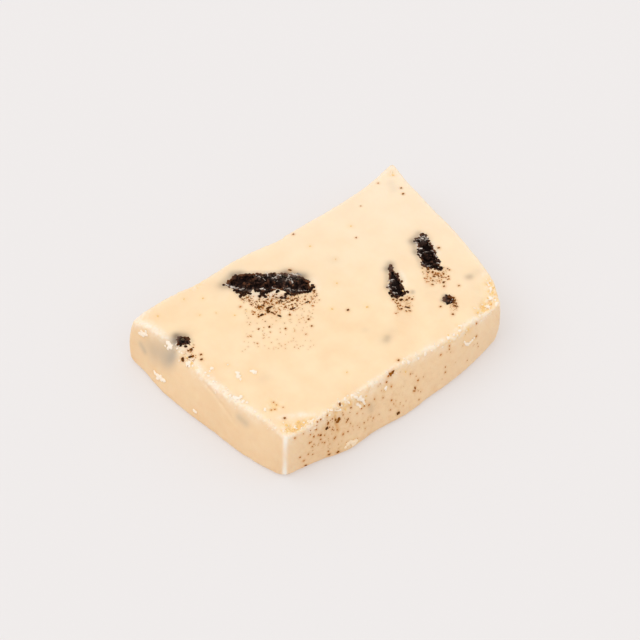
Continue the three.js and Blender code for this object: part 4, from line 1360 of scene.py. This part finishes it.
# ---------------------------------------------------------------------------------------------
# Shavings. The blade rolled thin curls and crumbs of fudge up along the rims and pressed a few
# onto the sides. They are the same fudge, dry and nearly white because light gets through them,
# or amber where butter shows.
# ---------------------------------------------------------------------------------------------
# Lumps by the face they are on. Each is its place there, as x and y on the top, x and height on
# the front side or y and height on the left one, and its size. Lumps that touch run together.
LUMPS = (
    ("left", (
        (22.7, 9.4, 0.7), (22.0, 9.9, 0.9), (21.3, 9.8, 0.9), (20.7, 9.9, 0.7), (21.6, 9.3, 0.7),
        (21.2, 10.6, 0.6), (22.2, 9.2, 0.6), (15.5, 3.3, 0.8), (14.5, 3.4, 1.0), (13.5, 3.7, 1.0),
        (12.4, 3.6, 0.8), (14.6, 2.6, 0.6), (16.0, 3.4, 0.6), (12.0, 3.7, 0.6), (14.1, 2.9, 0.8),
        (13.0, 3.2, 0.7), (1.7, 2.6, 0.8), (1.1, 2.7, 0.7), (7.8, 10.8, 0.6), (7.2, 11.1, 0.8),
    )),
    ("top", (
        (-36.0, 15.1, 0.8), (-35.9, 14.4, 1.0), (-36.1, 13.6, 0.9), (-36.4, 14.3, 0.8),
        (-36.5, 15.2, 0.5), (-35.6, 12.0, 0.5), (-35.8, 10.9, 0.5), (-35.5, 10.3, 0.4),
        (-36.4, 7.3, 0.8), (-36.4, 6.6, 0.6), (-36.1, 5.8, 0.5), (-36.7, 9.9, 0.6), (-33.5, 2.4, 0.8),
        (-34.3, 2.0, 0.5), (-30.2, 1.0, 0.5), (-30.0, -2.2, 0.9), (-30.5, -3.2, 0.9),
        (-30.7, -4.1, 0.6), (-30.4, -2.7, 0.7), (-27.2, -4.2, 0.9), (-27.5, -3.7, 0.7),
        (-27.2, -4.8, 0.6), (-26.8, -4.5, 0.6), (-32.3, -14.4, 0.7), (-32.0, -14.0, 0.5),
        (-35.3, -6.4, 0.7), (-34.9, -7.4, 0.8), (-34.4, -8.2, 0.8), (-33.7, -8.1, 0.7),
        (-34.2, -9.4, 0.8), (-33.8, -10.2, 0.6), (-35.3, 2.3, 0.6), (-35.4, 1.1, 0.6),
        (-14.7, -24.0, 0.8), (-14.4, -24.5, 0.7), (-15.2, -22.8, 0.6), (-14.9, -23.4, 0.6),
        (-21.4, -23.4, 0.5), (-17.3, -22.8, 0.5), (-16.0, -22.3, 0.5), (0.5, -23.3, 0.8),
        (3.1, -23.6, 0.6), (5.0, -23.7, 0.7), (6.7, -23.9, 0.5), (8.6, -23.9, 0.5), (11.7, -23.7, 0.6),
        (13.3, -23.8, 0.7), (15.1, -23.8, 0.8), (16.3, -23.0, 0.8), (16.0, -22.5, 0.5),
        (25.2, -21.3, 0.7), (25.2, -21.7, 0.7), (25.2, -22.2, 0.6), (25.6, -22.3, 0.5),
        (27.6, -20.3, 0.6), (27.3, -20.7, 0.6), (27.9, -21.7, 0.6), (27.2, -22.8, 0.7),
        (26.8, -23.1, 0.6), (29.3, -18.8, 0.6), (28.8, -19.2, 0.5), (25.0, -20.6, 0.5),
        (30.1, -17.4, 0.7), (30.2, -16.8, 0.5), (22.4, -20.7, 0.5), (-31.5, -19.6, 0.4),
        (-30.3, -21.8, 0.5), (-30.1, -22.2, 0.5), (-29.3, -23.0, 0.5), (-33.0, -21.4, 0.5),
        (38.3, 25.0, 0.4), (37.6, 24.6, 0.4),
    )),
    ("front", (
        (-7.1, 9.0, 0.7), (-6.8, 9.2, 0.6), (-18.2, 1.9, 1.3), (-18.8, 2.4, 0.9), (-19.6, 2.2, 0.9),
        (-17.5, 1.9, 0.9), (-20.4, 1.7, 0.7), (-13.4, 9.8, 0.8), (15.5, 8.9, 0.7), (15.8, 8.1, 0.9),
        (16.5, 7.6, 0.9), (17.3, 7.5, 0.8), (18.0, 7.6, 0.6), (18.7, 7.8, 0.6), (16.1, 8.0, 0.7),
        (-14.3, 10.3, 0.7), (-13.7, 10.5, 0.8), (-13.3, 9.2, 0.6), (-13.2, 8.7, 0.5),
        (-14.6, 10.9, 0.7), (-19.4, 10.7, 0.6), (-16.8, 10.8, 0.6), (-18.6, 10.9, 0.5),
        (-22.3, 10.9, 0.5),
    )),
    ("top", (
        (27.7, -20.6, 0.8), (31.0, -16.8, 0.5), (29.5, -18.3, 0.5), (25.2, -22.0, 0.8),
        (27.5, -22.6, 0.7), (30.7, -15.8, 0.4),
    )),
)
# Fine curds along the two worn rims: the direction in from the rim, where the row starts and ends
# along it, and how many there are.
RIM_CURDS = (
    ((0, 1, 0), -29.0, -14.0, 60),
    ((0, 1, 0), -14.0, 10.0, 34),
    ((0, 1, 0), 10.0, 26.0, 34),
    ((1, 0, 0), -20.0, 14.0, 50),
)
SMALLEST_CURD, LARGEST_CURD = 0.28, 0.62
# The front rim is all in front of this y, and the left rim left of this x.
FRONT_RIM_Y, LEFT_RIM_X = -19, -32
# Amber flecks: x and y on the cut top, and the size.
AMBER_FLECKS = (
    (-22.0, 20.4, 0.5), (-19.8, 11.7, 0.5), (-2.1, -0.7, 0.5), (4.3, -5.2, 0.6), (-33.0, 22.4, 0.5),
    (18.6, 17.0, 0.5), (7.1, 18.0, 0.5), (4.0, 4.8, 0.5), (37.8, 24.0, 0.6), (-11.9, -17.2, 0.5),
    (-25.4, 22.9, 0.4), (-22.6, 14.9, 0.4), (-17.0, 11.0, 0.4), (-25.7, 16.7, 0.4), (13.8, -6.5, 0.5),
    (15.9, -23.1, 0.6), (17.4, -24.2, 0.6), (12.3, -23.1, 0.5), (-21.3, -23.1, 0.6),
    (-16.6, -23.7, 0.6), (-18.1, -24.0, 0.6), (-12.3, -24.0, 0.5), (-1.0, -21.7, 0.5),
    (-0.9, -24.0, 0.5), (-31.4, -20.5, 0.7), (-28.8, -21.3, 0.7), (-27.1, -22.3, 0.6),
    (-30.7, -22.0, 0.6), (-31.5, -22.5, 0.5), (27.3, -20.1, 0.7), (24.6, -21.3, 0.7),
    (24.9, -22.0, 0.6), (22.3, -22.0, 0.6), (28.1, -21.4, 0.7), (30.0, -18.8, 0.6), (26.5, -21.8, 0.6),
    (-35.7, 6.6, 0.6), (-35.4, 8.6, 0.5), (8.8, 10.9, 0.4),
)
SPOT_FINDERS = {"top": on_top, "front": on_front, "left": on_left}
LUMP_THICKNESS = 0.6
LUMP_VOXEL = 0.13
FOOT_LUMP_HEIGHT = 3.0
draw = np.random.default_rng(8)


def curl_lumps():
    """The lumps, and their tones: those at the foot are a little darker."""
    found, tones = [], []
    for face, places in LUMPS:
        for first, second, size in places:
            spot = SPOT_FINDERS[face](first, second)
            long = 1.15 * size * draw.uniform(0.9, 1.2)
            wide = 1.15 * size * draw.uniform(0.75, 1.0)
            turn = np.pi / 2 + draw.normal(0, 0.5) if face == "left" else draw.uniform(0, np.pi)
            dims = (long, wide, LUMP_THICKNESS * wide)
            sink = 0.5 if face == "top" else 0.4
            found.append(pebble(3, spot, dims, turn, 0.45, sink, draw.uniform(0, 90)))
            tones.append(0.35 if face == "front" and second < FOOT_LUMP_HEIGHT else 0.0)
    return found, tones


def rim_curds():
    """Small curds on both sides of the worn rims, most of them close to the edge itself."""
    found, tones = [], []
    for inward, start, end, count in RIM_CURDS:
        inward = np.array(inward, float)
        along = rim_line[:, 0] if inward[1] else rim_line[:, 1]
        near_side = rim_line[:, 1] < FRONT_RIM_Y if inward[1] else rim_line[:, 0] < LEFT_RIM_X
        edge = rim_line[near_side & (along > start) & (along < end)]
        for _ in range(count):
            aside = draw.normal(0, 0.6)
            step = aside * inward if aside > 0 else np.array((0, 0, 1.1 * aside))
            place, normal, _, _ = surface.find_nearest(Vector(edge[draw.integers(len(edge))] + step))
            size = SMALLEST_CURD + (LARGEST_CURD - SMALLEST_CURD) * draw.random() ** 1.5
            dims = (1.3 * size, size, 0.5 * size)
            spot = (np.array(place), np.array(normal))
            turn = draw.uniform(0, np.pi)
            found.append(pebble(2, spot, dims, turn, 0.45, 0.5, draw.uniform(0, 90)))
            tones.append(0.25 * draw.random())
    return found, tones


def fleck_lumps():
    found = []
    for number, (x, y, size) in enumerate(AMBER_FLECKS):
        dims = (1.3 * size, size, 0.5 * size)
        found.append(pebble(2, on_top(x, y), dims, number, 0.4, 0.55, 300 + number))
    return found


def shaving_material():
    """Nearly white fudge, and amber flecks."""
    material, tree, principled = new_material("fudge_shaving")
    grain = place_group(
        tree,
        fudge_grain,
        {"Cream": colour(0.97, 0.85, 0.72), "Deep Cream": colour(0.95, 0.79, 0.61), "Mottle Size": 700.0},
    )
    amber = colour(0.90, 0.58, 0.22)
    tint = mix_colour(tree, mask_of(tree, "tone"), grain.outputs["Color"], amber)
    gloss, height = grain.outputs["Roughness"], grain.outputs["Height"]
    finish_surface(tree, principled, tint, gloss, 0.3, height, 0.4, 0.05)
    return material


lumps, lump_tones = curl_lumps()
flecks = fleck_lumps()
curds, curd_tones = rim_curds()
tones = lump_tones + [1.0] * len(flecks) + curd_tones
shaving_mesh = joined("fudge_shavings", lumps + flecks + curds, tones, LUMP_VOXEL)
shavings = to_object("fudge_shavings", shaving_mesh, shaving_material())
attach(shavings, "root")

# A faint amber edge round each lump and fleck is painted shade, where they shade the fudge. Butter shows
# amber in soft patches where the rim is torn, and painted shade darkens the cracks there and the pit in
# the front side.
AMBER_PATCHES = level_strokes(11.2, (
    (-28.9, -21.5, -29.1, -22.6, 0.55, 0.9), (-27.6, -22.0, -27.2, -22.8, 0.55, 0.8),
    (-31.0, -22.0, -30.9, -22.9, 0.45, 0.8), (-26.3, -22.4, -26.0, -22.6, 0.4, 0.5),
    (26.3, -21.5, 26.2, -22.2, 0.5, 0.7), (24.4, -22.6, 25.5, -22.8, 0.4, 0.9),
    (24.4, -21.5, 23.6, -21.6, 0.45, 0.65), (28.9, -19.9, 28.6, -21.0, 0.5, 0.4),
    (22.1, -22.2, 21.8, -22.4, 0.7, 0.5),
)) + level_strokes(11.3, (
    (-31.7, -20.7, -31.4, -21.3, 0.6, 0.6), (16.0, -23.2, 16.4, -23.4, 0.4, 0.6),
)) + level_strokes(11.6, (
    (-24.0, 14.0, -20.0, 14.0, 4.5, 0.08), (-30.8, -15.2, -29.2, -14.0, 0.9, 0.25),
)) + [
    ((18.1, -24.2, 10.5), (17.6, -24.3, 10.3), 0.7, 0.5),
    ((15.7, -24.8, 9.8), (15.9, -24.8, 10.2), 0.5, 0.5),
    ((-24.4, -24.9, 1.7), (-20.5, -25.6, 1.7), 0.9, 0.3),
    # Painted shade along the cracks by the torn rim and in the pit in the front side.
    ((-21.7, -23.1, 11.6), (-20.6, -23.8, 10.8), 0.4, 0.7),
    ((-21.1, -24.1, 10.0), (-21.3, -24.7, 8.4), 0.35, 0.7),
    ((-21.3, -24.7, 8.4), (-21.1, -25.4, 6.6), 0.35, 0.7),
    ((-18.3, -23.9, 10.4), (-17.0, -24.0, 10.3), 0.4, 0.5),
    ((-16.2, -23.5, 11.4), (-16.5, -24.0, 10.3), 0.45, 0.7),
    ((-14.9, -23.6, 11.1), (-14.8, -23.6, 11.2), 0.4, 0.6),
    ((-15.0, -24.3, 9.7), (-14.2, -24.4, 9.6), 0.7, 0.25),
    ((-11.8, -23.9, 10.9), (-11.4, -23.7, 11.2), 0.5, 0.45),
    ((-39.0, 23.4, 10.6), (-39.0, 20.2, 10.7), 0.5, 0.35),
    ((-38.0, 14.9, 6.0), (-38.6, 12.0, 4.4), 0.5, 0.3),
]
lump_middles = [shaped.mean(axis=0) for shaped, _ in lumps + flecks]
_, lump_gap = nearest(slab_points, lump_middles)
butter_and_shade = np.maximum(0.3 * np.exp(-((lump_gap / 0.8) ** 2)), stroked(slab_points, AMBER_PATCHES))
add_mask(slab_mesh, "butter_and_shade", butter_and_shade)

# ---------------------------------------------------------------------------------------------
# The table under the piece, which isn't part of it: a plain pale warm-grey board, lit from below
# as well as from above, so that the shadow on it stays light.
# ---------------------------------------------------------------------------------------------
FLOOR_SIDE = 3000.0
FLOOR_DROP = 0.02


def floor_mesh():
    half = FLOOR_SIDE / 2
    corners = [(-half, -half), (half, -half), (half, half), (-half, half)]
    return to_mesh("floor", [(x, y, -FLOOR_DROP) for x, y in corners], [(0, 1, 2, 3)])


floor_material, _, floor_principled = new_material("pale_board")
floor_principled.inputs["Base Color"].default_value = colour(0.48, 0.463, 0.458)
floor_principled.inputs["Emission Color"].default_value = colour(0.348, 0.335, 0.332)
floor_principled.inputs["Emission Strength"].default_value = 1.0
floor_principled.inputs["Roughness"].default_value = 0.9
floor_principled.inputs["Specular IOR Level"].default_value = 0.1
floor = to_object("floor", floor_mesh(), floor_material)

# ---------------------------------------------------------------------------------------------
# Light and camera: an even white studio all round, with a large soft light behind on the left.
# ---------------------------------------------------------------------------------------------
studio = bpy.data.worlds.new("studio")
studio.use_nodes = True
background = studio.node_tree.nodes["Background"]
background.inputs["Color"].default_value = colour(1.0, 1.0, 1.0)
background.inputs["Strength"].default_value = 0.926
bpy.context.scene.world = studio
bpy.context.scene.view_settings.view_transform = "Standard"


def aim(made, place, target):
    made.location = Vector(place) * MM
    made.rotation_euler = (Vector(target) - Vector(place)).to_track_quat("-Z", "Y").to_euler()


soft_light = bpy.data.lights.new("soft_light", "SUN")
soft_light.energy = 0.59
soft_light.angle = np.radians(60)
lamp = to_object("soft_light", soft_light)
aim(lamp, (-244.0, 174.0, 520.0), (0.0, 0.0, 0.0))

CAMERA_TARGET = np.array((-2.7, 2.75, 5.85))
CAMERA_ELEVATION = np.radians(46)
CAMERA_AZIMUTH = np.radians(-40)
CAMERA_DISTANCE = 440.0
LENS = 110.0
backward = np.array((
    np.sin(CAMERA_AZIMUTH) * np.cos(CAMERA_ELEVATION),
    -np.cos(CAMERA_AZIMUTH) * np.cos(CAMERA_ELEVATION),
    np.sin(CAMERA_ELEVATION),
))
camera = to_object("camera", bpy.data.cameras.new("camera"))
camera.data.lens = LENS
camera.data.sensor_width = 36.0
camera.data.clip_start = 0.01
aim(camera, CAMERA_TARGET + backward * CAMERA_DISTANCE, CAMERA_TARGET)
bpy.context.scene.camera = camera
